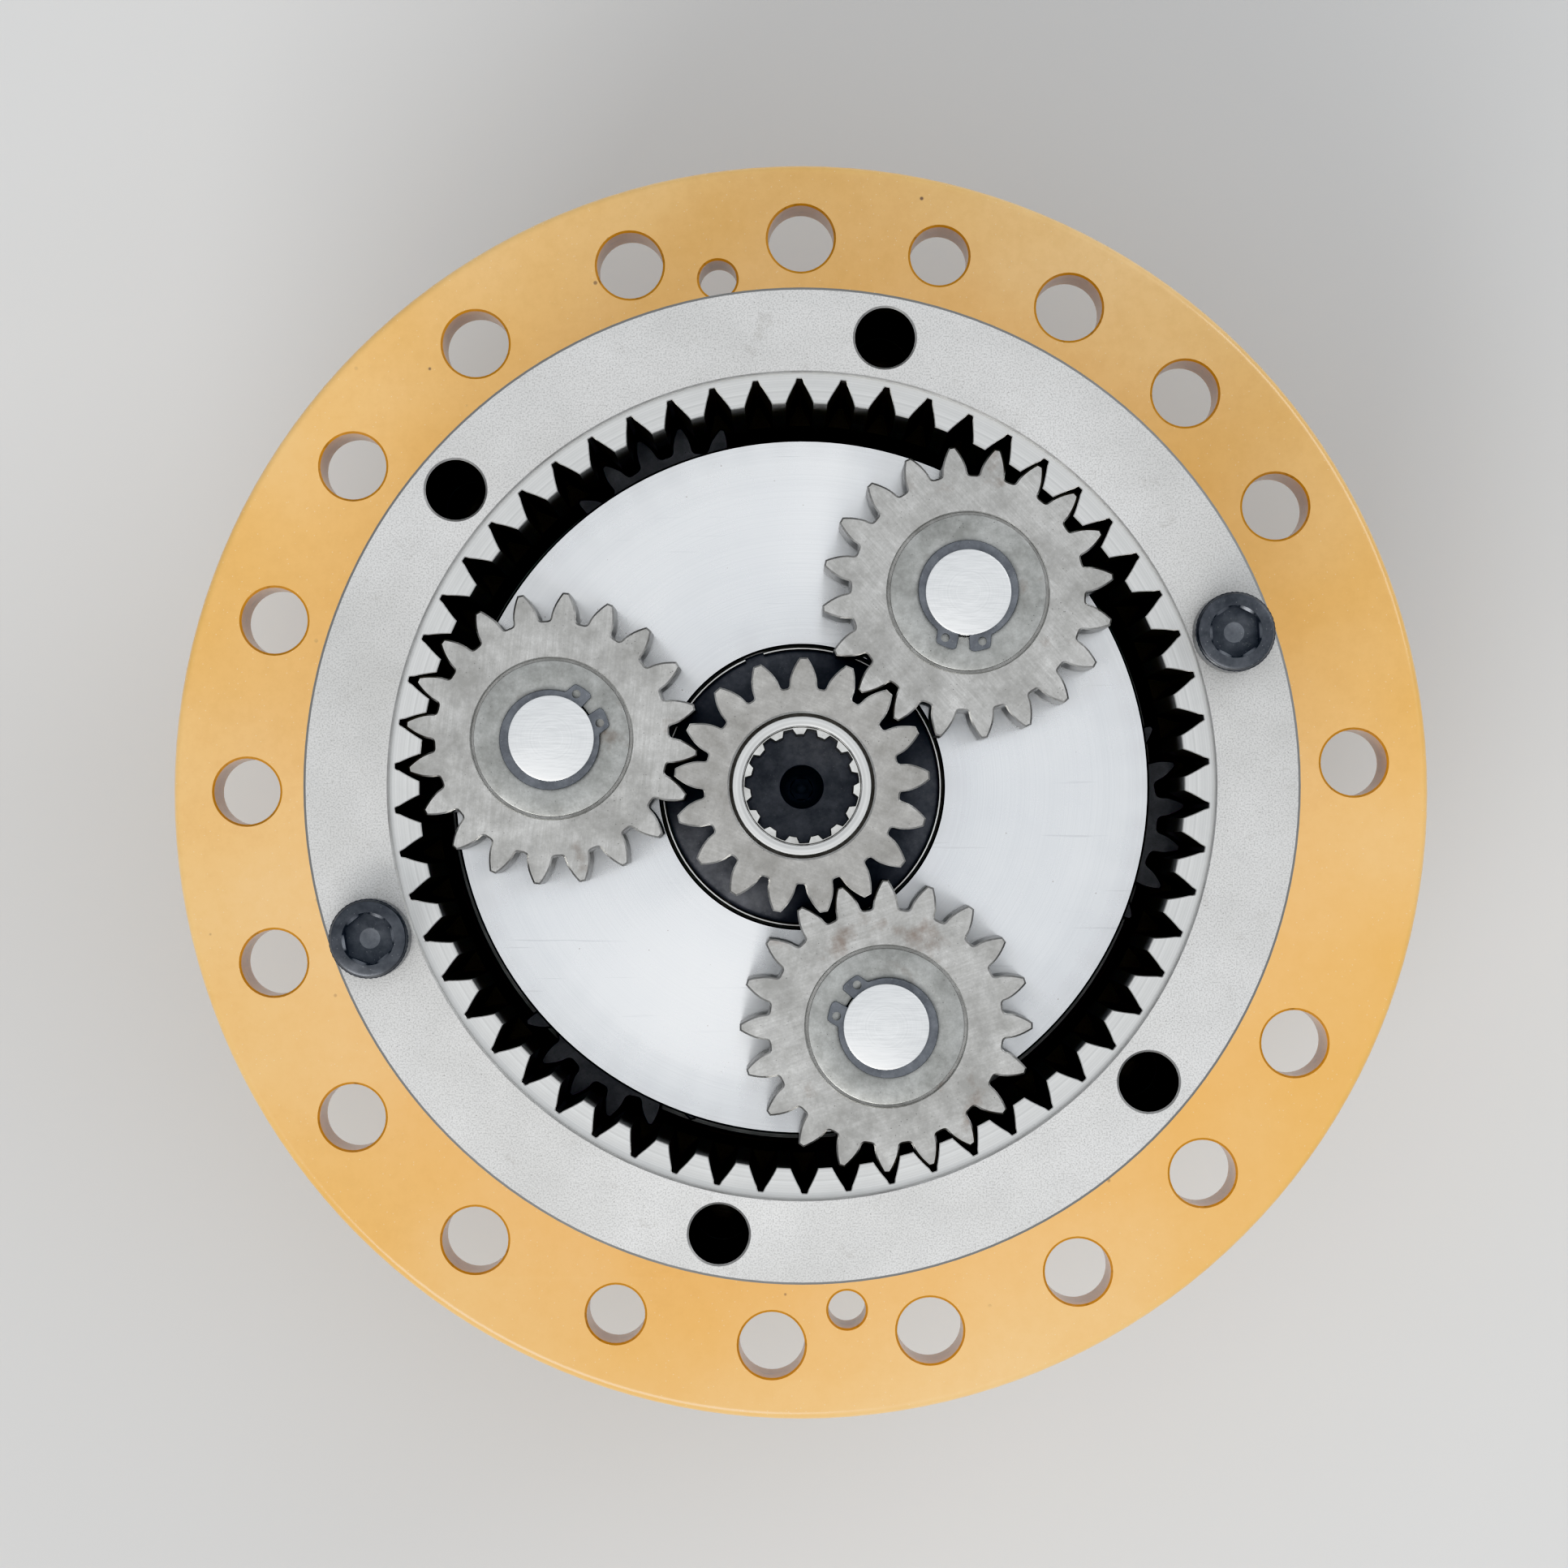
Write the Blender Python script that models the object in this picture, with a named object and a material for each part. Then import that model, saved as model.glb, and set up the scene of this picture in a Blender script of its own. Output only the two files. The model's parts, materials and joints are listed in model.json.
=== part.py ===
"""A two-stage planetary swing reduction gearbox, standing on its output pinion.

Every piece is its own object. Lengths below are millimetres, angles are degrees counter-clockwise from +X,
and heights are measured from the pinion's end face. Meshes are made in metres, +Z up, on the main axis.
"""

import math

import bmesh
import bpy
from mathutils import Matrix, Vector
from mathutils.geometry import tessellate_polygon

MM = 0.001
GAP = 0.3  # left between two pieces that touch
PIN_HOLE_GAP = 0.5

# Facets of a full circle
LARGE_ROUND = 48
MEDIUM_ROUND = 24
SMALL_ROUND = 16
HOLE_ROUND = 10
SHARP_ANGLE = 32.0

# Gear teeth, the same module in both stages
MODULE = 5.0
PRESSURE_ANGLE = 27.0
TOOTH_THINNING = 0.6  # taken off a tooth's thickness for backlash, along the pitch circle
SUN_1_THINNING = 1.6
RING_SPACE_WIDENING = 0.2
FLANK_START = 0.02  # above the base circle, in modules
ROOT_FILLET_SHARE = 0.5  # how much of the space left at the root its fillets fill
SPLINE_TAPER = 0.25
RING_TEETH = 58
RING_SHIFT = -0.36  # profile shift of the ring gear's tooth spaces
RING_PHASE = 3.45  # where one of its tooth spaces is centred
RING_TIP_R = 140.6
RING_ROOT_R = 149.8
RING_FLANK_END_R = 148.2
RING_ROOT_HALF_ANGLE = 0.3

# Heights from the pinion's end face
PINION_TOP = 105.0
COVER_BOTTOM = 120.0
NOSE_BOTTOM = 132.0
LOWER_BEARING = (140.0, 202.0)
FLANGE_BOTTOM = 215.0
FLANGE_TOP = 255.0
UPPER_BEARING = (275.0, 323.0)
LOCK_NUT = (324.0, 336.0)
CHAMBER_FLOOR = 326.0
CARRIER_2_DISC = (345.0, 377.4)
RING_SPIGOT_BOTTOM = 379.0
RING_SEAT = 390.0
RING_TOP = 515.0
RING_INNER_TOP = RING_TOP - 4.0

# Flange housing
FLANGE_R = 260.0
FLANGE_EDGE_ROUND = 3.0
NECK_RIM_R = 181.0
NECK_RIM_HEIGHT = 48.0
NECK_R = 170.0
NECK_FILLET = 24.0
REGISTER_R = 190.0
REGISTER_HEIGHT = 16.0
CONE_TOP_R = 176.0
NOSE_R = 136.0
NOSE_TOP = 152.0
LOWER_SEAT_R = 107.8
MIDDLE_BORE_R = 84.0
UPPER_SEAT_R = 90.3
CHAMBER_R = 141.5

# Flange holes: the large ones are not evenly spaced
FLANGE_HOLE_CIRCLE_R = 229.5
FLANGE_HOLE_R = 13.7
FLANGE_HOLE_ANGLES = (3, 31, 46, 61, 90, 108, 126, 144, 162, 180, 198, 216, 234, 267, 283.5, 300, 316.5, 333)
JACKING_HOLE_R = 12.1
JACKING_HOLE_ANGLES = (75.5, 250.5)
FLANGE_DOWEL_CIRCLE_R = 215.4
FLANGE_DOWEL_HOLE_R = 7.8
FLANGE_DOWEL_HOLE_ANGLES = (99.2, 275.1)

# Ring gear body and its fixings
RING_OUTER_R = 183.0
RING_STEP_R = 151.8
RING_SPIGOT_R = 155.5
RING_HOLE_CIRCLE_R = 167.25
RING_HOLE_R = 11.0
RING_HOLE_PHASE = 19.5
RING_HOLE_COUNT = 6
TAPPED_HOLE_R = 10.6
TAPPED_HOLE_DEPTH = 42.0
SCREW_ANGLES = (19.5, 199.5)
SCREW_SHANK_R = 9.8
SCREW_HEAD_R = 14.6
SCREW_HEAD_HEIGHT = 20.0
SCREW_CHAMFER = 1.6
SCREW_SOCKET_ACROSS = 17.0
SCREW_SOCKET_DEPTH = 10.0
SCREW_REACH = 38.0  # into the housing
RING_DOWEL_ANGLES = (49.5, 229.5)
RING_DOWEL_R = 5.0
RING_DOWEL_HALF_LENGTH = 12.0
DRAIN_PLUG_ANGLE = 289.5
DRAIN_PLUG_HEIGHT = 356.0
DRAIN_PLUG_R = 10.0
DRAIN_PLUG_SPAN = (165.0, 180.0)
DRAIN_CUT_REACH = 3.0  # past both faces of the neck's wall
DRAIN_SOCKET_ACROSS = 10.0
DRAIN_SOCKET_DEPTH = 7.0

# Bearings: bore, outer ring and roller circle radii
LOWER_BORE_R = 60.15
LOWER_INNER_RACE_R = 74.0
LOWER_OUTER_RACE_R = 92.0
LOWER_OUTSIDE_R = 107.4
UPPER_BORE_R = 50.15
UPPER_INNER_RACE_R = 62.0
UPPER_OUTER_RACE_R = 78.0
UPPER_OUTSIDE_R = 90.0
RACE_GAP = 1.6
CAGE_HALF_THICKNESS = 2.0
LOWER_ROLLER_COUNT = 12
UPPER_ROLLER_COUNT = 12
ROLLER_END_GAP = 5.0

# Seal and its cover
COVER_R = 133.0
COVER_SPIGOT_R = 107.4
COVER_BORE_R = 84.0
SEAL_INNER_R = 70.8
SEAL_CASE = 3.0

# Output shaft with its pinion
PINION_TEETH = 13
PINION_MODULE = 12.0
PINION_SHIFT = 0.5
PINION_TIP_R = 93.0
PINION_ROOT_R = 67.5
PINION_RELIEF = 3.0
PINION_RELIEF_R = 66.0
SEAL_JOURNAL_R = 70.0
LOWER_JOURNAL_R = 59.85
MIDDLE_SHAFT_R = 55.0
UPPER_JOURNAL_R = 49.85
THREAD_R = 48.0
SHAFT_TOP = 372.2
SHAFT_SPLINE_BOTTOM = 338.0
SHAFT_SPLINE_TEETH = 18
SHAFT_SPLINE_ROOT_R = 41.5
SHAFT_SPLINE_TIP_R = 45.5
CENTRE_HOLE_R = 8.0
CENTRE_HOLE_DEPTH = 14.0
LOCK_NUT_R = 63.0
LOCK_NUT_SLOTS = 4
LOCK_NUT_ARC_STEPS = 5
LOCK_NUT_SLOT = (10.0, 5.0)  # width and depth
END_PLATE_R = 54.0
END_PLATE = (372.6, 377.0)
END_PLATE_HOLE_R = 8.1
END_BOLT_SHANK_R = 7.2
END_BOLT_HEAD_R = 11.0
END_BOLT_HEAD_HEIGHT = 8.0
END_BOLT_BOTTOM = 351.0
END_BOLT_SOCKET_ACROSS = 8.0
END_BOLT_SOCKET_DEPTH = 4.5

# Second stage: the lower one, which drives the output shaft
SUN_2_TEETH = 20
PLANET_2_TEETH = 19
CENTRE_DISTANCE_2 = 97.5
CARRIER_2_ANGLE = 354.4
PLANET_2_TIP_R = 50.6
PLANET_2_ROOT_R = 40.6
SUN_2_TIP_R = 55.0
SUN_2_ROOT_R = 44.0
PLANET_2 = (380.0, 415.0)
PLANET_2_BORE_R = 26.5
SUN_2_TEETH_SPAN = (381.0, 419.0)
SUN_2_HUB_TOP = 459.0
SUN_2_BORE_R = 16.0
CARRIER_2_R = 138.0
CARRIER_2_HUB_R = 72.0
CARRIER_2_HUB_BOTTOM = 338.0
CARRIER_2_PAD_R = 34.0
CARRIER_2_PAD_TOP = 379.6
PIN_2_R = 20.0
PIN_2 = (346.0, 424.0)
WASHER_2_R = 33.0
WASHER_2 = (415.3, 417.3)
CIRCLIP_2 = (417.7, 420.2)
CIRCLIP_2_OPENINGS = (60.0, 200.0, 310.0)
ROLLER_SET_2 = (384.0, 411.0)
ROLLER_COUNT_2 = 8

# First stage: the upper one, driven by the motor
SUN_1_TEETH = 17
PLANET_1_TEETH = 20
CENTRE_DISTANCE_1 = 93.8
CARRIER_1_ANGLE = 49.3
PLANET_1_TIP_R = 53.9
PLANET_1_ROOT_R = 43.4
SUN_1_TIP_R = 47.2
SUN_1_ROOT_R = 36.2
PLANET_1 = (469.0, 509.0)
PLANET_1_BORE_R = 21.5
WASHER_SEAT_R = 29.8
WASHER_SEAT_DEPTH = 2.5
SUN_1 = (463.0, 510.0)
SUN_SEAT_R = 26.8
SUN_SEAT_DEPTH = 4.5
SUN_RING_INNER_R = 21.8
SUN_RING_OUTER_R = 25.7
SUN_RING = (505.8, 508.3)
SUN_SPLINE_TEETH = 15
SUN_SPLINE_ROOT_R = 21.0
SUN_SPLINE_TIP_R = 18.9
CARRIER_1_R = 130.5
CARRIER_1_DISC = (437.0, 466.4)
CARRIER_1_HUB_R = 62.0
CARRIER_1_HUB_BOTTOM = 425.0
CARRIER_1_RECESS_R = 53.2
CARRIER_1_RECESS_FLOOR = 459.4
HUB_SPLINE_TEETH = 16
HUB_SPLINE_ROOT_R = 38.0
HUB_SPLINE_TIP_R = 41.5
THRUST_PLATE_R = 52.6
THRUST_PLATE = (459.8, 462.4)
THRUST_PLATE_HOLE_R = 8.1
SNAP_RING_INNER_R = 51.3
SNAP_RING_OUTER_R = 52.9
SNAP_RING = (462.8, 464.6)
SNAP_RING_OPENING = 110.0
SNAP_RING_HALF_GAP = 4.0
PIN_1_R = 15.9
PIN_1 = (438.0, 514.0)
BOTTOM_WASHER = (466.7, 468.7)
TOP_WASHER = (506.8, 509.2)
WASHER_R = 28.7
CIRCLIP_1 = (509.6, 511.6)
CIRCLIP_1_OPENINGS = (264.5, 39.0, 146.5)
NEEDLE_SET_1 = (472.0, 504.0)
NEEDLE_COUNT_1 = 8
NEEDLE_GAP = 0.75
NEEDLE_CAGE_HALF_THICKNESS = 0.9

# Circlips, worked out from the pin they sit on
CIRCLIP_GROOVE_DEPTH = 1.6
CIRCLIP_GROOVE_GAP = 0.7
CIRCLIP_RADIAL = 3.2
CIRCLIP_LUG_RADIAL = 6.6
CIRCLIP_HALF_GAP_ANGLE = 7.0
CIRCLIP_LUG_ANGLE = 38.0
CIRCLIP_LUG_HOLE_R = 1.3
CIRCLIP_LUG_DROP = 1.0
CIRCLIP_LUG_SLOPE = 3.0
CIRCLIP_STEPS = 8
CIRCLIP_LUG_STEPS = 4
CIRCLIP_HOLE_ROUND = 5
PLANET_COUNT = 3


# ---------------------------------------------------------------- scene and materials


def clear_scene():
    for thing in list(bpy.data.objects):
        bpy.data.objects.remove(thing, do_unlink=True)


def make_material(name, colour, metallic, roughness):
    material = bpy.data.materials.new(name)
    material.use_nodes = True
    shader = material.node_tree.nodes["Principled BSDF"]
    shader.inputs["Base Color"].default_value = (*colour, 1.0)
    shader.inputs["Metallic"].default_value = metallic
    shader.inputs["Roughness"].default_value = roughness
    material.diffuse_color = (*colour, 1.0)
    return material


def yellow_paint():
    return make_material("yellow_paint", (0.75, 0.43, 0.10), 0.0, 0.3)


def blasted_steel():
    return make_material("blasted_steel", (0.62, 0.61, 0.60), 1.0, 0.5)


def gear_steel():
    return make_material("gear_steel", (0.42, 0.42, 0.41), 1.0, 0.45)


def polished_steel():
    return make_material("polished_steel", (0.85, 0.87, 0.89), 1.0, 0.15)


def ground_steel():
    return make_material("ground_steel", (0.75, 0.76, 0.78), 1.0, 0.25)


def black_oxide():
    return make_material("black_oxide", (0.03, 0.035, 0.045), 0.6, 0.4)


def spring_steel():
    return make_material("spring_steel", (0.16, 0.18, 0.21), 0.9, 0.4)


def nitrile_rubber():
    return make_material("nitrile_rubber", (0.02, 0.02, 0.02), 0.0, 0.7)


# ---------------------------------------------------------------- outlines


def wrapped(angle, period):
    """The angle's smallest equivalent under a repeat of `period`."""
    return (angle + period / 2) % period - period / 2


def polar(radius, angle):
    turn = math.radians(angle)
    return radius * math.cos(turn), radius * math.sin(turn)


def turned_outline(outline, angle):
    turn = Matrix.Rotation(math.radians(angle), 2)
    return [tuple(turn @ Vector(point)) for point in outline]


def circle(radius, count, centre=(0.0, 0.0), start=0.0):
    points = [polar(radius, start + 360 * step / count) for step in range(count)]
    return [(x + centre[0], y + centre[1]) for x, y in points]


def hexagon(across_flats, centre=(0.0, 0.0)):
    return circle(across_flats / 2 / math.cos(math.pi / 6), 6, centre)


def involute(angle):
    return math.tan(angle) - angle


def tooth_half_angle(radius, teeth, module, shift, thinning):
    """Half the angle that an involute tooth takes up at a radius, radial below its base circle."""
    pressure = math.radians(PRESSURE_ANGLE)
    pitch_r = teeth * module / 2
    base_r = pitch_r * math.cos(pressure)
    thickness = module * (math.pi / 2 + 2 * shift * math.tan(pressure)) - thinning
    at_radius = math.acos(min(1.0, base_r / radius))
    return math.degrees(thickness / (2 * pitch_r) + involute(pressure) - involute(at_radius))


def working_shift(centre_distance, teeth_sum):
    """Sum (or, for an internal pair, difference) of the profile shifts that suits a centre distance."""
    pressure = math.radians(PRESSURE_ANGLE)
    working = math.acos(teeth_sum * MODULE / 2 * math.cos(pressure) / centre_distance)
    return (involute(working) - involute(pressure)) * teeth_sum / (2 * math.tan(pressure))


def gear_outline(teeth, module, shift, root_r, tip_r, thinning=TOOTH_THINNING, tip_corner=None):
    """A spur gear's outline with one tooth centred on +X. A ring gear's spaces have the same shape.

    tip_corner is the radius where the flanks end and half the angle of the tip, where the two don't meet.
    """
    flank_end_r, tip_half_angle = tip_corner or (tip_r, None)
    base_r = teeth * module / 2 * math.cos(math.radians(PRESSURE_ANGLE))
    flank_start_r = max(root_r, base_r + FLANK_START * module)
    radii = [flank_start_r, flank_end_r]
    half_angles = [tooth_half_angle(radius, teeth, module, shift, thinning) for radius in radii]
    if root_r < flank_start_r:
        radii.insert(0, root_r)
        half_angles.insert(0, half_angles[0] + ROOT_FILLET_SHARE * (180 / teeth - half_angles[0]))
    if tip_corner:
        radii.append(tip_r)
        half_angles.append(tip_half_angle)
    flank = list(zip(radii, half_angles))
    points = []
    for tooth in range(teeth):
        centre = 360 * tooth / teeth
        points += [polar(radius, centre - half) for radius, half in flank]
        points += [polar(radius, centre + half) for radius, half in reversed(flank)]
    return points


def spline_outline(teeth, root_r, tip_r, gap=0.0):
    """Straight-sided spline teeth, pointing out when tip_r is the larger; gap widens the whole outline."""
    quarter = 360 / teeth / 4
    outward = 1 if tip_r > root_r else -1
    points = []
    for tooth in range(teeth):
        centre = 360 * tooth / teeth
        slack = math.degrees(gap / tip_r) * outward
        root_half = quarter * (1 + SPLINE_TAPER) + slack
        tip_half = quarter * (1 - SPLINE_TAPER) + slack
        points.append(polar(root_r + gap, centre - root_half))
        points.append(polar(tip_r + gap, centre - tip_half))
        points.append(polar(tip_r + gap, centre + tip_half))
        points.append(polar(root_r + gap, centre + root_half))
    return points


def bumpy_circle(radius, bump, count, outward):
    """A circle with a rounded bump for each roller of a cage."""
    points = []
    bump_angle = math.degrees(bump / radius)
    for roller in range(count):
        centre = 360 * roller / count
        for step in (-1.0, -0.5, 0.5, 1.0):
            height = bump if abs(step) < 1 else 0.0
            points.append(polar(radius + outward * height, centre + step * bump_angle))
    return points


# ---------------------------------------------------------------- solids


def finish_mesh(name, mesh_builder, material, location=(0.0, 0.0), angle=0.0):
    """Turns a bmesh into a smooth-shaded object with its own origin, at a place in millimetres."""
    bmesh.ops.recalc_face_normals(mesh_builder, faces=mesh_builder.faces)
    mesh = bpy.data.meshes.new(name)
    mesh_builder.to_mesh(mesh)
    mesh_builder.free()
    mesh.transform(Matrix.Scale(MM, 4))
    mesh.shade_smooth()
    mesh.set_sharp_from_angle(angle=math.radians(SHARP_ANGLE))
    mesh.materials.append(material)
    thing = bpy.data.objects.new(name, mesh)
    bpy.context.collection.objects.link(thing)
    return set_down(thing, location, angle)


def set_down(thing, location, angle):
    thing.location = (location[0] * MM, location[1] * MM, 0.0)
    thing.rotation_euler.z = math.radians(angle)
    return thing


def shell_mesh(walls, caps):
    """A closed bmesh of upright or tapered walls and flat caps.

    A wall is (lower outline, its height, upper outline, its height), with as many points in both. A cap is
    (height, outline, holes). Points at the same place are one corner.
    """
    builder = bmesh.new()
    corners = {}

    def corner(point, height):
        key = (round(point[0], 5), round(point[1], 5), round(height, 5))
        if key not in corners:
            corners[key] = builder.verts.new(key)
        return corners[key]

    for lower, low, upper, high in walls:
        for step in range(len(lower)):
            after = (step + 1) % len(lower)
            near = (corner(lower[step], low), corner(lower[after], low))
            far = (corner(upper[after], high), corner(upper[step], high))
            builder.faces.new(near + far)
    for height, outline, holes in caps:
        loops = [outline, *holes]
        points = [point for loop in loops for point in loop]
        for triangle in tessellate_polygon([[Vector((x, y, 0.0)) for x, y in loop] for loop in loops]):
            builder.faces.new([corner(points[index], height) for index in triangle])
    return builder


def upright(outline, low, high):
    return (outline, low, outline, high)


def shell(name, walls, caps, material, location=(0.0, 0.0), angle=0.0):
    return finish_mesh(name, shell_mesh(walls, caps), material, location, angle)


def prism(name, outline, span, material, holes=(), location=(0.0, 0.0), angle=0.0):
    """A straight prism over an outline with holes."""
    low, high = span
    walls = [upright(loop, low, high) for loop in (outline, *holes)]
    caps = [(low, outline, holes), (high, outline, holes)]
    return shell(name, walls, caps, material, location, angle)


def turned_walls(profile, count):
    """Walls through an open (radius, height) profile, leaving out its flat steps."""
    walls = []
    for (inner_r, low), (outer_r, high) in zip(profile, profile[1:]):
        if low != high:
            walls.append((circle(inner_r, count), low, circle(outer_r, count), high))
    return walls


def tube(name, inner_r, outer_r, span, material, location=(0.0, 0.0), count=MEDIUM_ROUND):
    return prism(name, circle(outer_r, count), span, material, [circle(inner_r, count)], location)


def planet_angles(carrier_angle):
    return [carrier_angle + 360 * step / PLANET_COUNT for step in range(PLANET_COUNT)]


def planet_turn(planet_angle, teeth):
    """How far a planet is turned so that its tooth fills the ring gear's nearest space."""
    space = wrapped(RING_PHASE - planet_angle, 360 / RING_TEETH)
    return planet_angle + space * RING_TEETH / teeth


def sun_turn(carrier_angle, sun_teeth, planet_teeth):
    """How far a sun is turned so that the planets' teeth fill its spaces."""
    tooth = planet_turn(carrier_angle, planet_teeth)
    inward = wrapped(tooth - carrier_angle - 180, 360 / planet_teeth)
    return carrier_angle - inward * planet_teeth / sun_teeth + 180 / sun_teeth


# ---------------------------------------------------------------- housing and ring gear


def round_arc(centre_r, centre_z, radius, start, end, steps):
    """Profile points (radius, height) along an arc, angles measured from the outward direction."""
    points = []
    for step in range(steps + 1):
        turn = math.radians(start + (end - start) * step / steps)
        points.append((centre_r + radius * math.cos(turn), centre_z + radius * math.sin(turn)))
    return points


def hole_outlines(radius, circle_r, angles, count=HOLE_ROUND):
    """Circles on a bolt circle, with no corner on a line through the main axis."""
    return [circle(radius, count, polar(circle_r, angle), angle + 180 / count) for angle in angles]


def ring_hole_angles():
    return [RING_HOLE_PHASE + 360 * step / RING_HOLE_COUNT for step in range(RING_HOLE_COUNT)]


def drain_placement():
    """Turns a piece standing on the main axis so that it points outwards at the drain's height."""
    outwards = Matrix.Rotation(math.radians(DRAIN_PLUG_ANGLE), 4, "Z") @ Matrix.Rotation(math.pi / 2, 4, "Y")
    return Matrix.Translation((0.0, 0.0, DRAIN_PLUG_HEIGHT * MM)) @ outwards


def large(radius):
    return circle(radius, LARGE_ROUND)


def make_housing(material):
    """The painted casting: nose, register, bolting flange, and the neck that the ring gear sits on."""
    seat = RING_SEAT - GAP
    recess_floor = RING_SPIGOT_BOTTOM - GAP
    recess_r = RING_SPIGOT_R + GAP
    register_bottom = FLANGE_BOTTOM - REGISTER_HEIGHT
    rim_bottom = RING_SEAT - NECK_RIM_HEIGHT
    lower_shoulder = LOWER_BEARING[1] + GAP
    upper_shoulder = UPPER_BEARING[0] - GAP
    edge = FLANGE_EDGE_ROUND
    edge_arc = round_arc(FLANGE_R - edge, FLANGE_TOP - edge, edge, 0, 90, steps=2)
    fillet_arc = round_arc(NECK_R + NECK_FILLET, FLANGE_TOP + NECK_FILLET, NECK_FILLET, 270, 180, steps=2)
    outside = [(NOSE_R, NOSE_BOTTOM), (NOSE_R, NOSE_TOP), (CONE_TOP_R, register_bottom)]
    outside += [(REGISTER_R, register_bottom), (REGISTER_R, FLANGE_BOTTOM), (FLANGE_R, FLANGE_BOTTOM)]
    outside += [*edge_arc, *fillet_arc, (NECK_R, rim_bottom - (NECK_RIM_R - NECK_R))]
    outside += [(NECK_RIM_R, rim_bottom), (NECK_RIM_R, seat)]
    bores = [
        (LOWER_SEAT_R, NOSE_BOTTOM, lower_shoulder),
        (MIDDLE_BORE_R, lower_shoulder, upper_shoulder),
        (UPPER_SEAT_R, upper_shoulder, CHAMBER_FLOOR),
        (CHAMBER_R, CHAMBER_FLOOR, recess_floor),
        (recess_r, recess_floor, seat),
    ]
    walls = turned_walls(outside, LARGE_ROUND)
    walls += [upright(large(radius), low, high) for radius, low, high in bores]

    flange_holes = hole_outlines(FLANGE_HOLE_R, FLANGE_HOLE_CIRCLE_R, FLANGE_HOLE_ANGLES)
    flange_holes += hole_outlines(JACKING_HOLE_R, FLANGE_HOLE_CIRCLE_R, JACKING_HOLE_ANGLES)
    flange_holes += hole_outlines(FLANGE_DOWEL_HOLE_R, FLANGE_DOWEL_CIRCLE_R, FLANGE_DOWEL_HOLE_ANGLES)
    tapped = hole_outlines(TAPPED_HOLE_R, RING_HOLE_CIRCLE_R, ring_hole_angles())
    tapped_floor = RING_SEAT - TAPPED_HOLE_DEPTH
    dowels = hole_outlines(RING_DOWEL_R + GAP, RING_HOLE_CIRCLE_R, RING_DOWEL_ANGLES)
    dowel_floor = RING_SEAT - RING_DOWEL_HALF_LENGTH - GAP
    walls += [upright(hole, FLANGE_BOTTOM, FLANGE_TOP) for hole in flange_holes]
    walls += [upright(hole, tapped_floor, seat) for hole in tapped]
    walls += [upright(hole, dowel_floor, seat) for hole in dowels]
    caps = [
        (NOSE_BOTTOM, large(NOSE_R), [large(LOWER_SEAT_R)]),
        (register_bottom, large(REGISTER_R), [large(CONE_TOP_R)]),
        (FLANGE_BOTTOM, large(FLANGE_R), [large(REGISTER_R), *flange_holes]),
        (FLANGE_TOP, large(edge_arc[-1][0]), [large(fillet_arc[0][0]), *flange_holes]),
        (seat, large(NECK_RIM_R), [large(recess_r), *tapped, *dowels]),
        (recess_floor, large(recess_r), [large(CHAMBER_R)]),
        (CHAMBER_FLOOR, large(CHAMBER_R), [large(UPPER_SEAT_R)]),
        (upper_shoulder, large(UPPER_SEAT_R), [large(MIDDLE_BORE_R)]),
        (lower_shoulder, large(LOWER_SEAT_R), [large(MIDDLE_BORE_R)]),
    ]
    caps += [(tapped_floor, hole, []) for hole in tapped]
    caps += [(dowel_floor, hole, []) for hole in dowels]
    housing = shell("flange_housing", walls, caps, material)

    span = (CHAMBER_R - DRAIN_CUT_REACH, NECK_RIM_R + DRAIN_CUT_REACH)
    drain = prism("drain_hole", circle(DRAIN_PLUG_R + GAP, HOLE_ROUND), span, material)
    drain.matrix_world = drain_placement()
    drain.hide_render = True
    drain.display_type = "WIRE"
    cut = housing.modifiers.new("drain_hole", "BOOLEAN")
    cut.object = drain
    return housing


def make_ring_gear(material):
    teeth = gear_outline(
        RING_TEETH,
        MODULE,
        RING_SHIFT,
        RING_TIP_R,
        RING_ROOT_R,
        thinning=-RING_SPACE_WIDENING,
        tip_corner=(RING_FLANK_END_R, RING_ROOT_HALF_ANGLE),
    )
    teeth = turned_outline(teeth, RING_PHASE)
    body, step, spigot = large(RING_OUTER_R), large(RING_STEP_R), large(RING_SPIGOT_R)
    screw_holes = hole_outlines(RING_HOLE_R, RING_HOLE_CIRCLE_R, ring_hole_angles())
    dowels = hole_outlines(RING_DOWEL_R + GAP, RING_HOLE_CIRCLE_R, RING_DOWEL_ANGLES)
    dowel_top = RING_SEAT + RING_DOWEL_HALF_LENGTH + GAP
    walls = [
        upright(teeth, RING_SPIGOT_BOTTOM, RING_INNER_TOP),
        upright(spigot, RING_SPIGOT_BOTTOM, RING_SEAT),
        upright(body, RING_SEAT, RING_TOP),
        upright(step, RING_INNER_TOP, RING_TOP),
    ]
    walls += [upright(hole, RING_SEAT, RING_TOP) for hole in screw_holes]
    walls += [upright(hole, RING_SEAT, dowel_top) for hole in dowels]
    caps = [
        (RING_SPIGOT_BOTTOM, spigot, [teeth]),
        (RING_SEAT, body, [spigot, *screw_holes, *dowels]),
        (RING_INNER_TOP, step, [teeth]),
        (RING_TOP, body, [step, *screw_holes]),
    ]
    caps += [(dowel_top, hole, []) for hole in dowels]
    return shell("ring_gear", walls, caps, material)


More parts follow.
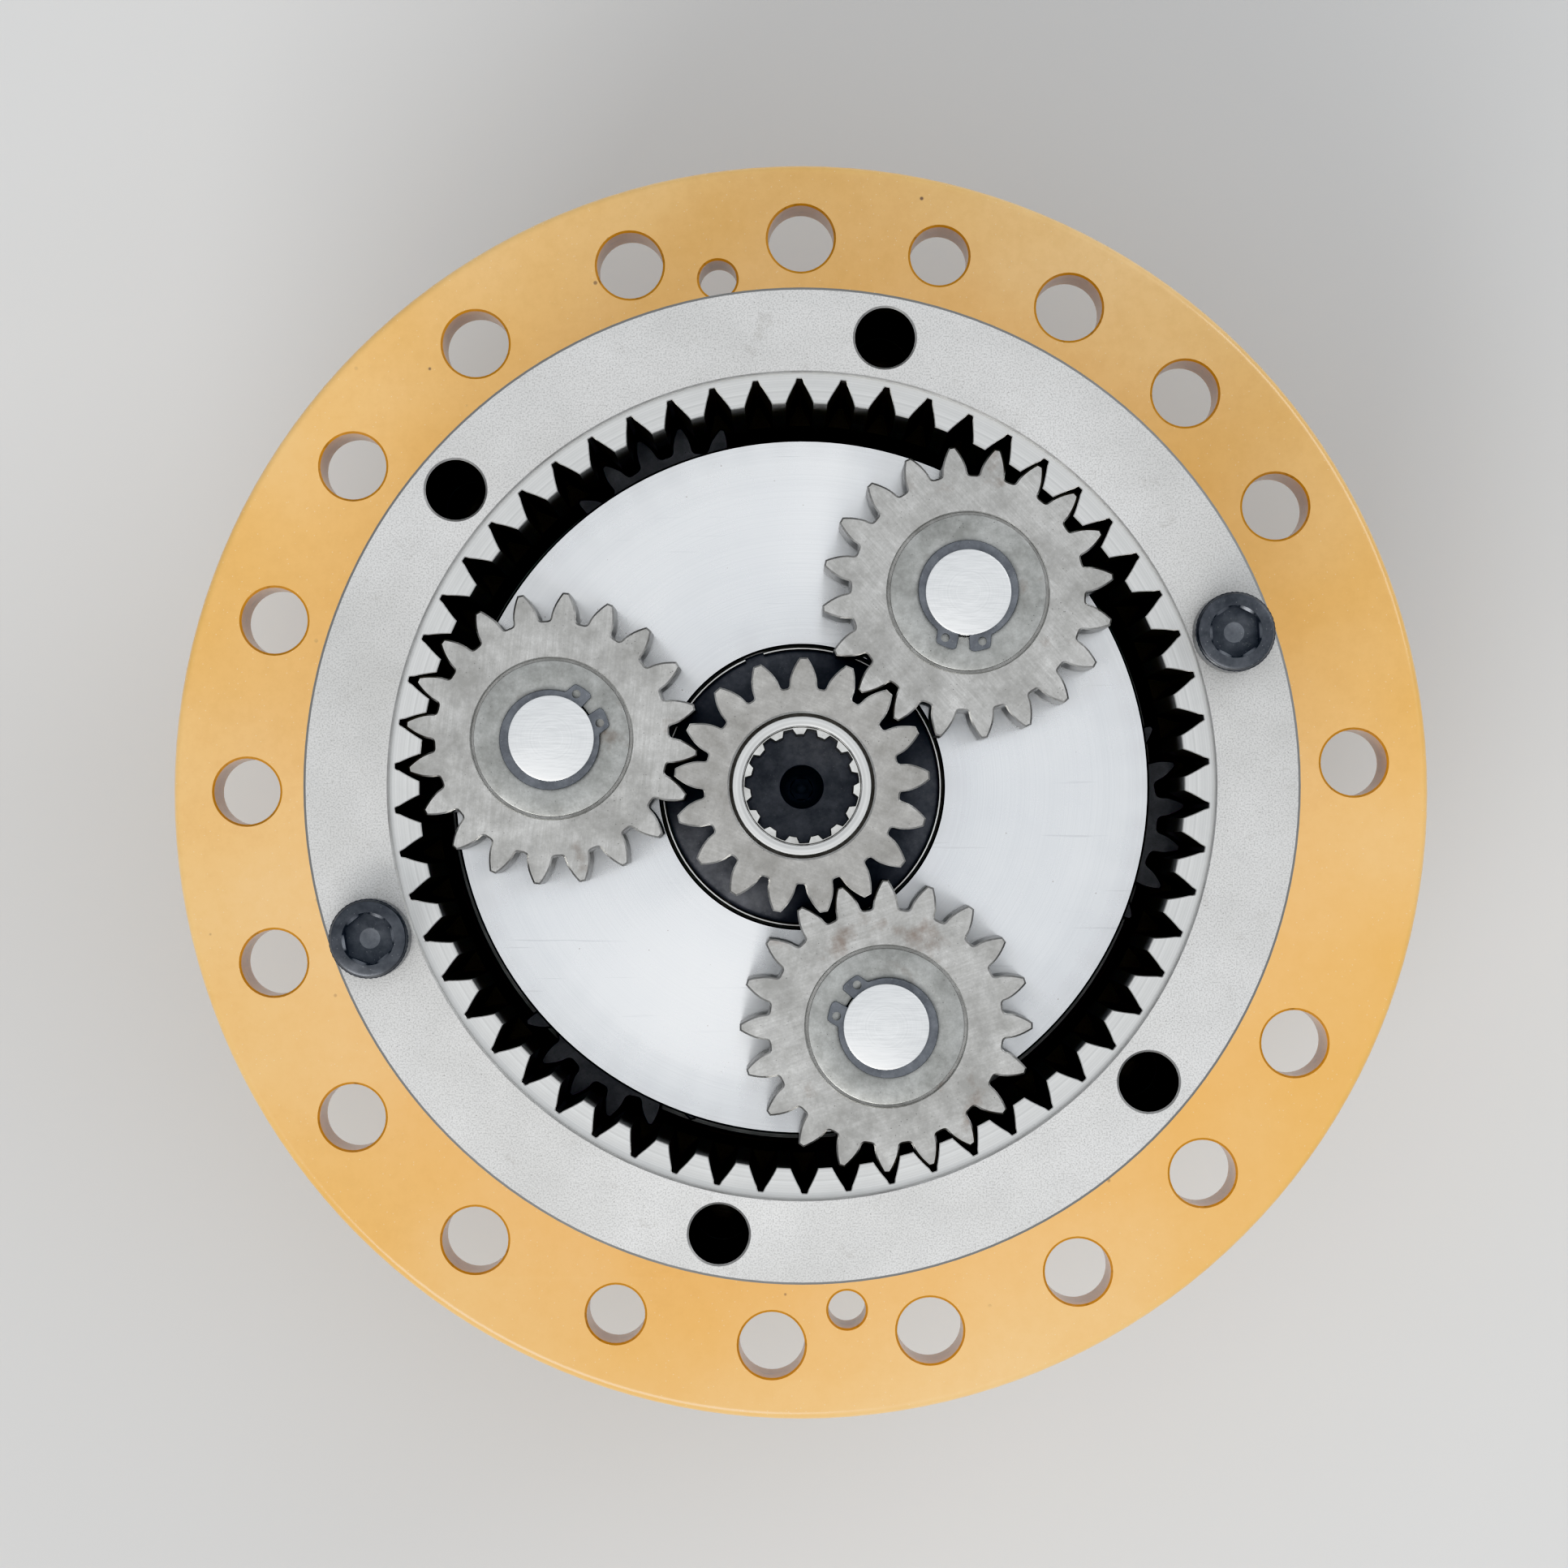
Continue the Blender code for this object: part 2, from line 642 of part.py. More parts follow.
def socket_screw(name, bottom, head_bottom, radii, head_height, socket, material, location=(0.0, 0.0)):
    """A socket head cap screw standing on its tip; socket is its width across flats and its depth."""
    shank_r, head_r = radii
    across, depth = socket
    head_top = head_bottom + head_height
    shank, head = circle(shank_r, SMALL_ROUND), circle(head_r, SMALL_ROUND)
    rim, hole = circle(head_r - SCREW_CHAMFER, SMALL_ROUND), hexagon(across)
    walls = [
        upright(shank, bottom, head_bottom),
        upright(head, head_bottom, head_top - SCREW_CHAMFER),
        (head, head_top - SCREW_CHAMFER, rim, head_top),
        upright(hole, head_top - depth, head_top),
    ]
    caps = [
        (bottom, shank, []),
        (head_bottom, head, [shank]),
        (head_top, rim, [hole]),
        (head_top - depth, hole, []),
    ]
    return shell(name, walls, caps, material, location)


def make_ring_screw(name, angle, material):
    radii = (SCREW_SHANK_R, SCREW_HEAD_R)
    socket = (SCREW_SOCKET_ACROSS, SCREW_SOCKET_DEPTH)
    bottom, head_bottom = RING_SEAT - SCREW_REACH, RING_TOP + GAP
    place_at = polar(RING_HOLE_CIRCLE_R, angle)
    return socket_screw(name, bottom, head_bottom, radii, SCREW_HEAD_HEIGHT, socket, material, place_at)


def make_ring_dowel(name, angle, material):
    span = (RING_SEAT - RING_DOWEL_HALF_LENGTH, RING_SEAT + RING_DOWEL_HALF_LENGTH)
    place_at = polar(RING_HOLE_CIRCLE_R, angle)
    return prism(name, circle(RING_DOWEL_R, HOLE_ROUND), span, material, location=place_at)


def make_drain_plug(material):
    inner_end, outer_end = DRAIN_PLUG_SPAN
    floor = outer_end - DRAIN_SOCKET_DEPTH
    body, socket = circle(DRAIN_PLUG_R, HOLE_ROUND), hexagon(DRAIN_SOCKET_ACROSS)
    walls = [upright(body, inner_end, outer_end), upright(socket, floor, outer_end)]
    caps = [(inner_end, body, []), (outer_end, body, [socket]), (floor, socket, [])]
    plug = shell("drain_plug", walls, caps, material)
    plug.matrix_world = drain_placement()
    return plug


# ---------------------------------------------------------------- bearings and seal


def make_bearing(prefix, span, radii, roller_count, steel, cage_steel):
    """An inner ring, an outer ring and a caged roller set, each its own piece."""
    bore_r, inner_race_r, outer_race_r, outside_r = radii
    tube(prefix + "_bearing_inner_ring", bore_r, inner_race_r, span, steel)
    tube(prefix + "_bearing_outer_ring", outer_race_r, outside_r, span, steel)
    low, high = span
    cage_span = (low + ROLLER_END_GAP, high - ROLLER_END_GAP)
    reach = (outer_race_r - inner_race_r) / 2 - RACE_GAP
    middle = (outer_race_r + inner_race_r) / 2
    name = prefix + "_bearing_roller_cage"
    make_roller_set(name, middle, reach, CAGE_HALF_THICKNESS, roller_count, cage_span, cage_steel)


def make_roller_set(name, middle_r, reach, half_thickness, count, span, material, location=(0.0, 0.0)):
    """A cage with its rollers standing out of it on both sides, as one piece."""
    bump = reach - half_thickness
    outside = bumpy_circle(middle_r + half_thickness, bump, count, 1)
    inside = bumpy_circle(middle_r - half_thickness, bump, count, -1)
    return prism(name, outside, span, material, [inside], location)


def make_needle_set(name, pin_r, bore_r, count, span, material, location):
    middle = (pin_r + bore_r) / 2
    reach = (bore_r - pin_r) / 2 - NEEDLE_GAP
    make_roller_set(name, middle, reach, NEEDLE_CAGE_HALF_THICKNESS, count, span, material, location)


def make_seal_cover(material):
    """The plate that closes the nose and holds the lower bearing's outer ring."""
    plate_top = NOSE_BOTTOM - GAP
    spigot_top = LOWER_BEARING[0] - GAP
    bore, edge = circle(COVER_BORE_R, MEDIUM_ROUND), circle(COVER_R, MEDIUM_ROUND)
    spigot = circle(COVER_SPIGOT_R, MEDIUM_ROUND)
    walls = [
        upright(bore, COVER_BOTTOM, spigot_top),
        upright(edge, COVER_BOTTOM, plate_top),
        upright(spigot, plate_top, spigot_top),
    ]
    caps = [(COVER_BOTTOM, edge, [bore]), (plate_top, edge, [spigot]), (spigot_top, spigot, [bore])]
    return shell("seal_cover", walls, caps, material)


def make_oil_seal(material):
    span = (COVER_BOTTOM + SEAL_CASE, NOSE_BOTTOM - SEAL_CASE)
    return tube("oil_seal", SEAL_INNER_R, COVER_BORE_R - GAP, span, material)


# ---------------------------------------------------------------- output shaft


def make_output_shaft(material):
    """One forging: pinion, seal and bearing journals, and the spline that carries the second carrier."""
    shoulder = LOWER_BEARING[0] - GAP
    relief_top = PINION_TOP + PINION_RELIEF
    upper_shoulder = UPPER_BEARING[0] - GAP
    spline_bottom = SHAFT_SPLINE_BOTTOM - GAP
    lower_top, upper_top = LOWER_BEARING[1], UPPER_BEARING[1]
    journals = [(PINION_RELIEF_R, PINION_TOP), (PINION_RELIEF_R, relief_top), (SEAL_JOURNAL_R, relief_top)]
    journals += [(SEAL_JOURNAL_R, shoulder), (LOWER_JOURNAL_R, shoulder), (LOWER_JOURNAL_R, lower_top)]
    journals += [(MIDDLE_SHAFT_R, lower_top + PINION_RELIEF), (MIDDLE_SHAFT_R, upper_shoulder)]
    journals += [(UPPER_JOURNAL_R, upper_shoulder), (UPPER_JOURNAL_R, upper_top)]
    journals += [(THREAD_R, upper_top + GAP), (THREAD_R, spline_bottom)]

    def round_of(radius):
        return circle(radius, MEDIUM_ROUND)

    pinion = gear_outline(PINION_TEETH, PINION_MODULE, PINION_SHIFT, PINION_ROOT_R, PINION_TIP_R)
    spline = spline_outline(SHAFT_SPLINE_TEETH, SHAFT_SPLINE_ROOT_R, SHAFT_SPLINE_TIP_R)
    hole = circle(CENTRE_HOLE_R, HOLE_ROUND)
    bolt_hole_floor = END_BOLT_BOTTOM - PINION_RELIEF
    walls = turned_walls(journals, MEDIUM_ROUND)
    walls += [upright(pinion, 0.0, PINION_TOP), upright(spline, spline_bottom, SHAFT_TOP)]
    walls += [upright(hole, 0.0, CENTRE_HOLE_DEPTH), upright(hole, bolt_hole_floor, SHAFT_TOP)]
    caps = [
        (0.0, pinion, [hole]),
        (CENTRE_HOLE_DEPTH, hole, []),
        (PINION_TOP, pinion, [round_of(PINION_RELIEF_R)]),
        (relief_top, round_of(SEAL_JOURNAL_R), [round_of(PINION_RELIEF_R)]),
        (shoulder, round_of(SEAL_JOURNAL_R), [round_of(LOWER_JOURNAL_R)]),
        (upper_shoulder, round_of(MIDDLE_SHAFT_R), [round_of(UPPER_JOURNAL_R)]),
        (spline_bottom, round_of(THREAD_R), [spline]),
        (SHAFT_TOP, spline, [hole]),
        (bolt_hole_floor, hole, []),
    ]
    return shell("output_pinion_shaft", walls, caps, material)


def make_lock_nut(material):
    """A round nut with slots for a hook spanner."""
    width, depth = LOCK_NUT_SLOT
    outline = []
    slot_half = math.degrees(width / 2 / LOCK_NUT_R)
    pitch = 360 / LOCK_NUT_SLOTS
    for slot in range(LOCK_NUT_SLOTS):
        centre = pitch * slot
        outline += [polar(LOCK_NUT_R - depth, centre + side * slot_half) for side in (-1, 1)]
        free = pitch - 2 * slot_half
        for step in range(LOCK_NUT_ARC_STEPS + 1):
            outline.append(polar(LOCK_NUT_R, centre + slot_half + free * step / LOCK_NUT_ARC_STEPS))
    bore = circle(THREAD_R + GAP, MEDIUM_ROUND)
    return prism("shaft_lock_nut", outline, LOCK_NUT, material, [bore])


def make_end_plate(material):
    return tube("shaft_end_plate", END_PLATE_HOLE_R, END_PLATE_R, END_PLATE, material)


def make_end_bolt(material):
    radii = (END_BOLT_SHANK_R, END_BOLT_HEAD_R)
    socket = (END_BOLT_SOCKET_ACROSS, END_BOLT_SOCKET_DEPTH)
    head_bottom = END_PLATE[1] + GAP
    height = END_BOLT_HEAD_HEIGHT
    return socket_screw("end_plate_bolt", END_BOLT_BOTTOM, head_bottom, radii, height, socket, material)


# ---------------------------------------------------------------- carriers, suns and planets


def make_second_carrier(material):
    """The lower carrier: a hub on the output shaft's spline and a raised pad under each planet."""
    disc_low, disc_high = CARRIER_2_DISC
    angles = planet_angles(CARRIER_2_ANGLE)
    hub, disc = large(CARRIER_2_HUB_R), large(CARRIER_2_R)
    recess = circle(END_PLATE_R + GAP, MEDIUM_ROUND)
    spline = spline_outline(SHAFT_SPLINE_TEETH, SHAFT_SPLINE_ROOT_R, SHAFT_SPLINE_TIP_R, GAP)
    pads = hole_outlines(CARRIER_2_PAD_R, CENTRE_DISTANCE_2, angles, SMALL_ROUND)
    pin_holes = hole_outlines(PIN_2_R + PIN_HOLE_GAP, CENTRE_DISTANCE_2, angles, SMALL_ROUND)
    recess_floor = END_PLATE[0] - GAP
    walls = [
        upright(hub, CARRIER_2_HUB_BOTTOM, disc_low),
        upright(disc, disc_low, disc_high),
        upright(spline, CARRIER_2_HUB_BOTTOM, recess_floor),
        upright(recess, recess_floor, disc_high),
    ]
    walls += [upright(pad, disc_high, CARRIER_2_PAD_TOP) for pad in pads]
    walls += [upright(hole, disc_low, CARRIER_2_PAD_TOP) for hole in pin_holes]
    caps = [
        (CARRIER_2_HUB_BOTTOM, hub, [spline]),
        (disc_low, disc, [hub, *pin_holes]),
        (disc_high, disc, [recess, *pads]),
        (recess_floor, recess, [spline]),
    ]
    caps += [(CARRIER_2_PAD_TOP, pad, [hole]) for pad, hole in zip(pads, pin_holes)]
    return shell("second_carrier", walls, caps, material)


def make_first_carrier(material):
    """The upper carrier disc, with a recess for the thrust plate and a splined hub for the second sun."""
    disc_low, disc_high = CARRIER_1_DISC
    hub, disc, recess = large(CARRIER_1_HUB_R), large(CARRIER_1_R), large(CARRIER_1_RECESS_R)
    spline = spline_outline(HUB_SPLINE_TEETH, HUB_SPLINE_ROOT_R, HUB_SPLINE_TIP_R, GAP)
    angles = planet_angles(CARRIER_1_ANGLE)
    pin_holes = hole_outlines(PIN_1_R + PIN_HOLE_GAP, CENTRE_DISTANCE_1, angles, SMALL_ROUND)
    walls = [
        upright(hub, CARRIER_1_HUB_BOTTOM, disc_low),
        upright(disc, disc_low, disc_high),
        upright(recess, CARRIER_1_RECESS_FLOOR, disc_high),
        upright(spline, CARRIER_1_HUB_BOTTOM, CARRIER_1_RECESS_FLOOR),
    ]
    walls += [upright(hole, disc_low, disc_high) for hole in pin_holes]
    caps = [
        (CARRIER_1_HUB_BOTTOM, hub, [spline]),
        (disc_low, disc, [hub, *pin_holes]),
        (disc_high, disc, [recess, *pin_holes]),
        (CARRIER_1_RECESS_FLOOR, recess, [spline]),
    ]
    return shell("first_carrier", walls, caps, material)


def stage_shifts(centre_distance, sun_teeth, planet_teeth):
    """Profile shifts of a stage's sun and planets, from the ring gear's shift and the centre distance."""
    planet_shift = RING_SHIFT - working_shift(centre_distance, RING_TEETH - planet_teeth)
    sun_shift = working_shift(centre_distance, sun_teeth + planet_teeth) - planet_shift
    return sun_shift, planet_shift


def seated_gear(name, teeth, bore, seat, span, seat_depth, material, angle=0.0):
    """A gear with a bore and a round seat sunk into its top face."""
    low, high = span
    floor = high - seat_depth
    walls = [upright(teeth, low, high), upright(bore, low, floor), upright(seat, floor, high)]
    caps = [(low, teeth, [bore]), (floor, seat, [bore]), (high, teeth, [seat])]
    return shell(name, walls, caps, material, angle=angle)


def make_first_sun(material):
    shift, _ = stage_shifts(CENTRE_DISTANCE_1, SUN_1_TEETH, PLANET_1_TEETH)
    outline = gear_outline(SUN_1_TEETH, MODULE, shift, SUN_1_ROOT_R, SUN_1_TIP_R, SUN_1_THINNING)
    spline = spline_outline(SUN_SPLINE_TEETH, SUN_SPLINE_ROOT_R, SUN_SPLINE_TIP_R)
    seat = circle(SUN_SEAT_R, MEDIUM_ROUND)
    turn = sun_turn(CARRIER_1_ANGLE, SUN_1_TEETH, PLANET_1_TEETH)
    return seated_gear("first_sun_gear", outline, spline, seat, SUN_1, SUN_SEAT_DEPTH, material, turn)


def make_second_sun(material):
    """The lower sun, whose splined hub stands up into the first carrier."""
    shift, _ = stage_shifts(CENTRE_DISTANCE_2, SUN_2_TEETH, PLANET_2_TEETH)
    outline = gear_outline(SUN_2_TEETH, MODULE, shift, SUN_2_ROOT_R, SUN_2_TIP_R)
    turn = sun_turn(CARRIER_2_ANGLE, SUN_2_TEETH, PLANET_2_TEETH)
    teeth = turned_outline(outline, turn)
    bore = circle(SUN_2_BORE_R, SMALL_ROUND)
    hub = spline_outline(HUB_SPLINE_TEETH, HUB_SPLINE_ROOT_R, HUB_SPLINE_TIP_R)
    low, high = SUN_2_TEETH_SPAN
    walls = [upright(teeth, low, high), upright(hub, high, SUN_2_HUB_TOP), upright(bore, low, SUN_2_HUB_TOP)]
    caps = [(low, teeth, [bore]), (high, teeth, [hub]), (SUN_2_HUB_TOP, hub, [bore])]
    return shell("second_sun_gear", walls, caps, material)


def make_sun_ring(material):
    return tube("sun_stop_ring", SUN_RING_INNER_R, SUN_RING_OUTER_R, SUN_RING, material)


def make_thrust_plate(material):
    return tube("carrier_thrust_plate", THRUST_PLATE_HOLE_R, THRUST_PLATE_R, THRUST_PLATE, material)


def make_snap_ring(material):
    """An open wire ring that holds the thrust plate down."""
    start, end = SNAP_RING_OPENING + SNAP_RING_HALF_GAP, SNAP_RING_OPENING + 360 - SNAP_RING_HALF_GAP
    turns = [start + (end - start) * step / MEDIUM_ROUND for step in range(MEDIUM_ROUND + 1)]
    outline = [polar(SNAP_RING_OUTER_R, turn) for turn in turns]
    outline += [polar(SNAP_RING_INNER_R, turn) for turn in reversed(turns)]
    return prism("carrier_snap_ring", outline, SNAP_RING, material)


def make_pin(name, radius, span, clip_span, material, location):
    """A planet pin with a circlip groove near its top."""
    low, high = span
    groove_r = radius - CIRCLIP_GROOVE_DEPTH
    groove_low, groove_high = clip_span[0] - GAP, clip_span[1] + GAP
    body, neck = circle(radius, SMALL_ROUND), circle(groove_r, SMALL_ROUND)
    walls = [
        upright(body, low, groove_low),
        upright(neck, groove_low, groove_high),
        upright(body, groove_high, high),
    ]
    caps = [(low, body, []), (groove_low, body, [neck]), (groove_high, body, [neck]), (high, body, [])]
    return shell(name, walls, caps, material, location)


def make_circlip(name, pin_r, span, opening, material, location):
    """An external circlip whose opening faces `opening`, with a lug and a plier hole at each end."""
    inner_r = pin_r - CIRCLIP_GROOVE_DEPTH + CIRCLIP_GROOVE_GAP
    outer_r = inner_r + CIRCLIP_RADIAL
    lug_r = inner_r + CIRCLIP_LUG_RADIAL
    half_gap = CIRCLIP_HALF_GAP_ANGLE
    lug_middle = (half_gap + CIRCLIP_LUG_ANGLE) / 2
    body_turn = 360 - 2 * CIRCLIP_LUG_ANGLE
    lug = [(lug_r, half_gap), (lug_r, lug_middle)]
    lug.append((lug_r - CIRCLIP_LUG_DROP, CIRCLIP_LUG_ANGLE - CIRCLIP_LUG_SLOPE))
    outline = [polar(radius, turn) for radius, turn in lug]
    for step in range(CIRCLIP_STEPS + 1):
        outline.append(polar(outer_r, CIRCLIP_LUG_ANGLE + body_turn * step / CIRCLIP_STEPS))
    outline += [polar(radius, -turn) for radius, turn in reversed(lug)]
    inner_steps = CIRCLIP_STEPS + CIRCLIP_LUG_STEPS
    for step in range(inner_steps + 1):
        outline.append(polar(inner_r, -half_gap - (360 - 2 * half_gap) * step / inner_steps))
    lug_middle_r = (lug_r + inner_r) / 2 + GAP
    centres = [polar(lug_middle_r, side * lug_middle) for side in (1, -1)]
    holes = [circle(CIRCLIP_LUG_HOLE_R, CIRCLIP_HOLE_ROUND, centre) for centre in centres]
    return prism(name, outline, span, material, holes, location, opening)


def make_first_planets(steel, polished, spring, cage_steel):
    """The upper stage's three planets, each with its pin, needle set, two washers and circlip."""
    _, shift = stage_shifts(CENTRE_DISTANCE_1, SUN_1_TEETH, PLANET_1_TEETH)
    teeth = gear_outline(PLANET_1_TEETH, MODULE, shift, PLANET_1_ROOT_R, PLANET_1_TIP_R)
    bore, seat = circle(PLANET_1_BORE_R, SMALL_ROUND), circle(WASHER_SEAT_R, SMALL_ROUND)
    washer_bore_r = PIN_1_R + GAP
    for number, angle in enumerate(planet_angles(CARRIER_1_ANGLE), 1):
        centre = polar(CENTRE_DISTANCE_1, angle)
        name = f"first_planet_gear_{number}"
        gear = seated_gear(name, teeth, bore, seat, PLANET_1, WASHER_SEAT_DEPTH, steel)
        set_down(gear, centre, planet_turn(angle, PLANET_1_TEETH))
        make_pin(f"first_planet_pin_{number}", PIN_1_R, PIN_1, CIRCLIP_1, polished, centre)
        for side, span in (("bottom", BOTTOM_WASHER), ("top", TOP_WASHER)):
            tube(f"first_{side}_washer_{number}", washer_bore_r, WASHER_R, span, steel, centre, SMALL_ROUND)
        needles = f"first_needle_bearing_{number}"
        make_needle_set(needles, PIN_1_R, PLANET_1_BORE_R, NEEDLE_COUNT_1, NEEDLE_SET_1, cage_steel, centre)
        opening = CIRCLIP_1_OPENINGS[number - 1]
        make_circlip(f"first_circlip_{number}", PIN_1_R, CIRCLIP_1, opening, spring, centre)


def make_second_planets(steel, polished, spring, cage_steel):
    """The lower stage's three planets, each with its pin, roller set, top washer and circlip."""
    _, shift = stage_shifts(CENTRE_DISTANCE_2, SUN_2_TEETH, PLANET_2_TEETH)
    teeth = gear_outline(PLANET_2_TEETH, MODULE, shift, PLANET_2_ROOT_R, PLANET_2_TIP_R)
    bore = circle(PLANET_2_BORE_R, SMALL_ROUND)
    washer_bore_r = PIN_2_R + GAP
    for number, angle in enumerate(planet_angles(CARRIER_2_ANGLE), 1):
        centre = polar(CENTRE_DISTANCE_2, angle)
        turn = planet_turn(angle, PLANET_2_TEETH)
        prism(f"second_planet_gear_{number}", teeth, PLANET_2, steel, [bore], centre, turn)
        make_pin(f"second_planet_pin_{number}", PIN_2_R, PIN_2, CIRCLIP_2, polished, centre)
        tube(f"second_top_washer_{number}", washer_bore_r, WASHER_2_R, WASHER_2, steel, centre, SMALL_ROUND)
        rollers = f"second_roller_bearing_{number}"
        make_needle_set(rollers, PIN_2_R, PLANET_2_BORE_R, ROLLER_COUNT_2, ROLLER_SET_2, cage_steel, centre)
        opening = CIRCLIP_2_OPENINGS[number - 1]
        make_circlip(f"second_circlip_{number}", PIN_2_R, CIRCLIP_2, opening, spring, centre)


def main():
    clear_scene()
    paint, blasted, steel = yellow_paint(), blasted_steel(), gear_steel()
    polished, ground, black = polished_steel(), ground_steel(), black_oxide()
    spring, rubber = spring_steel(), nitrile_rubber()

    make_housing(paint)
    make_ring_gear(blasted)
    for number, angle in enumerate(SCREW_ANGLES, 1):
        make_ring_screw(f"ring_screw_{number}", angle, black)
    for number, angle in enumerate(RING_DOWEL_ANGLES, 1):
        make_ring_dowel(f"ring_dowel_{number}", angle, ground)
    make_drain_plug(black)
    lower = (LOWER_BORE_R, LOWER_INNER_RACE_R, LOWER_OUTER_RACE_R, LOWER_OUTSIDE_R)
    upper = (UPPER_BORE_R, UPPER_INNER_RACE_R, UPPER_OUTER_RACE_R, UPPER_OUTSIDE_R)
    make_bearing("lower", LOWER_BEARING, lower, LOWER_ROLLER_COUNT, ground, polished)
    make_bearing("upper", UPPER_BEARING, upper, UPPER_ROLLER_COUNT, ground, polished)
    make_seal_cover(paint)
    make_oil_seal(rubber)

    make_output_shaft(steel)
    make_lock_nut(black)
    make_end_plate(steel)
    make_end_bolt(black)
    make_second_carrier(ground)
    make_second_planets(steel, polished, spring, ground)

    make_first_carrier(polished)
    make_second_sun(steel)
    make_thrust_plate(black)
    make_snap_ring(ground)
    make_first_planets(steel, polished, spring, ground)
    make_first_sun(steel)
    make_sun_ring(polished)


main()
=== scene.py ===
"""Looks for the swing reduction gearbox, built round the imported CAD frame.

Lengths below are millimetres and angles are degrees counter-clockwise from +X, as in the CAD. Each finer mesh
keeps its CAD node's sizes and takes its place.
"""

import json
import math

import bmesh
import bpy
from mathutils import Matrix, Vector
from mathutils.geometry import tessellate_polygon


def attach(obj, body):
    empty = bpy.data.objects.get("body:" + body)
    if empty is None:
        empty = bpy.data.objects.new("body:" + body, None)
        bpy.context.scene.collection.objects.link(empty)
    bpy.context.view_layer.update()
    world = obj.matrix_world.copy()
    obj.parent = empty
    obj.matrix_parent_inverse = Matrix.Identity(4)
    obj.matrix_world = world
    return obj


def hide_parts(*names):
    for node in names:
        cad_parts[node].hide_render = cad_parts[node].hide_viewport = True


MM = 0.001
GAP = 0.3
HUGE_ROUND = 160
LARGE_ROUND = 112
MEDIUM_ROUND = 72
SMALL_ROUND = 44
SHARP_ANGLE = 32.0
PAINTS = {}  # finishes by name
STEEL_GRAIN = 1400.0
STEEL_RELIEF = 0.00004
PATTERN_STEP = [3.1, 1.7, 0.9]  # moves each piece's texture, by its random number

# Gears
MODULE = 5.0
PRESSURE_ANGLE = 27.0
TOOTH_THINNING = 0.6
SUN_1_THINNING = 1.6
RING_SPACE_WIDENING = 0.2
ROOT_FILLET_SHARE = 0.62
ROOT_FILLET = ((0.0, 1.0), (0.07, 0.62), (0.22, 0.36), (0.5, 0.14))  # shares of the way up and of the flare
RING_TEETH = 58
RING_SHIFT = -0.36
RING_PHASE = 3.45
CARRIER_1_ANGLE = 49.3
CARRIER_2_ANGLE = 354.4
CENTRE_DISTANCE_1 = 93.8
CENTRE_DISTANCE_2 = 97.5
PLANET_1_TEETH, SUN_1_TEETH = 20, 17
PLANET_2_TEETH, SUN_2_TEETH = 19, 20
PINION_TEETH, PINION_MODULE = 13, 12.0
PIN_1_R, PIN_2_R = 15.9, 20.0
SHAFT_SPLINE = (18, 41.5, 45.5)  # teeth, root radius and tip radius
HUB_SPLINE = (16, 38.0, 41.5)
MOTOR_SPLINE = (15, 21.0, 18.9)

# Bolt circles
FLANGE_HOLE_ANGLES = (3, 31, 46, 61, 90, 108, 126, 144, 162, 180, 198, 216, 234, 267, 283.5, 300, 316.5, 333)
JACKING_HOLE_ANGLES = (75.5, 250.5)
FLANGE_DOWEL_ANGLES = (99.2, 275.1)
RING_HOLE_ANGLES = tuple(19.5 + 60 * step for step in range(6))
SCREW_ANGLES = (19.5, 199.5)
RING_DOWEL_ANGLES = (49.5, 229.5)
FLANGE_HOLE_CIRCLE_R = 229.5
FLANGE_DOWEL_CIRCLE_R = 215.4
RING_HOLE_CIRCLE_R = 167.25
COVER_SCREW_CIRCLE_R = 121.0
COVER_SCREW_COUNT = 8
CIRCLIP_1_OPENINGS = (264.5, 39.0, 146.5)
CIRCLIP_2_OPENINGS = (60.0, 200.0, 310.0)
DRAIN_ANGLE = 289.5
DRAIN_HEIGHT = 356.0
DOWEL_HOLE_R = 5.3
KNURL_COUNT, KNURL_DEPTH = 48, 0.16

# Heights
FLANGE_LOW, FLANGE_TOP = 215.0, 255.0
HOUSING_TOP = 389.7
RING_LOW, RING_TOP = 390.0, 515.0
DISC_TOP = 466.4


# ----- outlines


def polar(radius, angle, centre=(0.0, 0.0)):
    turn = math.radians(angle)
    return centre[0] + radius * math.cos(turn), centre[1] + radius * math.sin(turn)


def circle(radius, count, centre=(0.0, 0.0)):
    return [polar(radius, 360 * step / count, centre) for step in range(count)]


def turned_outline(outline, angle):
    turn = Matrix.Rotation(math.radians(angle), 2)
    return [tuple(turn @ Vector(point)) for point in outline]


def offset(outline, distance):
    """A counter-clockwise outline grown outwards by a distance, or shrunk by a negative one."""
    grown = []
    for index, point in enumerate(outline):
        here = Vector(point)
        before, after = Vector(outline[index - 1]), Vector(outline[(index + 1) % len(outline)])
        first, second = (here - before).normalized(), (after - here).normalized()
        normals = Vector((first.y, -first.x)), Vector((second.y, -second.x))
        bisector = normals[0] + normals[1]
        share = max(bisector.length_squared / 2, 0.5)
        grown.append(tuple(here + bisector / share * distance))
    return grown


def involute(angle):
    return math.tan(angle) - angle


def tooth_half_angle(radius, teeth, module, shift, thinning):
    """Half the angle that an involute tooth takes up at a radius, radial below its base circle."""
    pressure = math.radians(PRESSURE_ANGLE)
    pitch_r = teeth * module / 2
    base_r = pitch_r * math.cos(pressure)
    thickness = module * (math.pi / 2 + 2 * shift * math.tan(pressure)) - thinning
    at_radius = math.acos(min(1.0, base_r / radius))
    return math.degrees(thickness / (2 * pitch_r) + involute(pressure) - involute(at_radius))


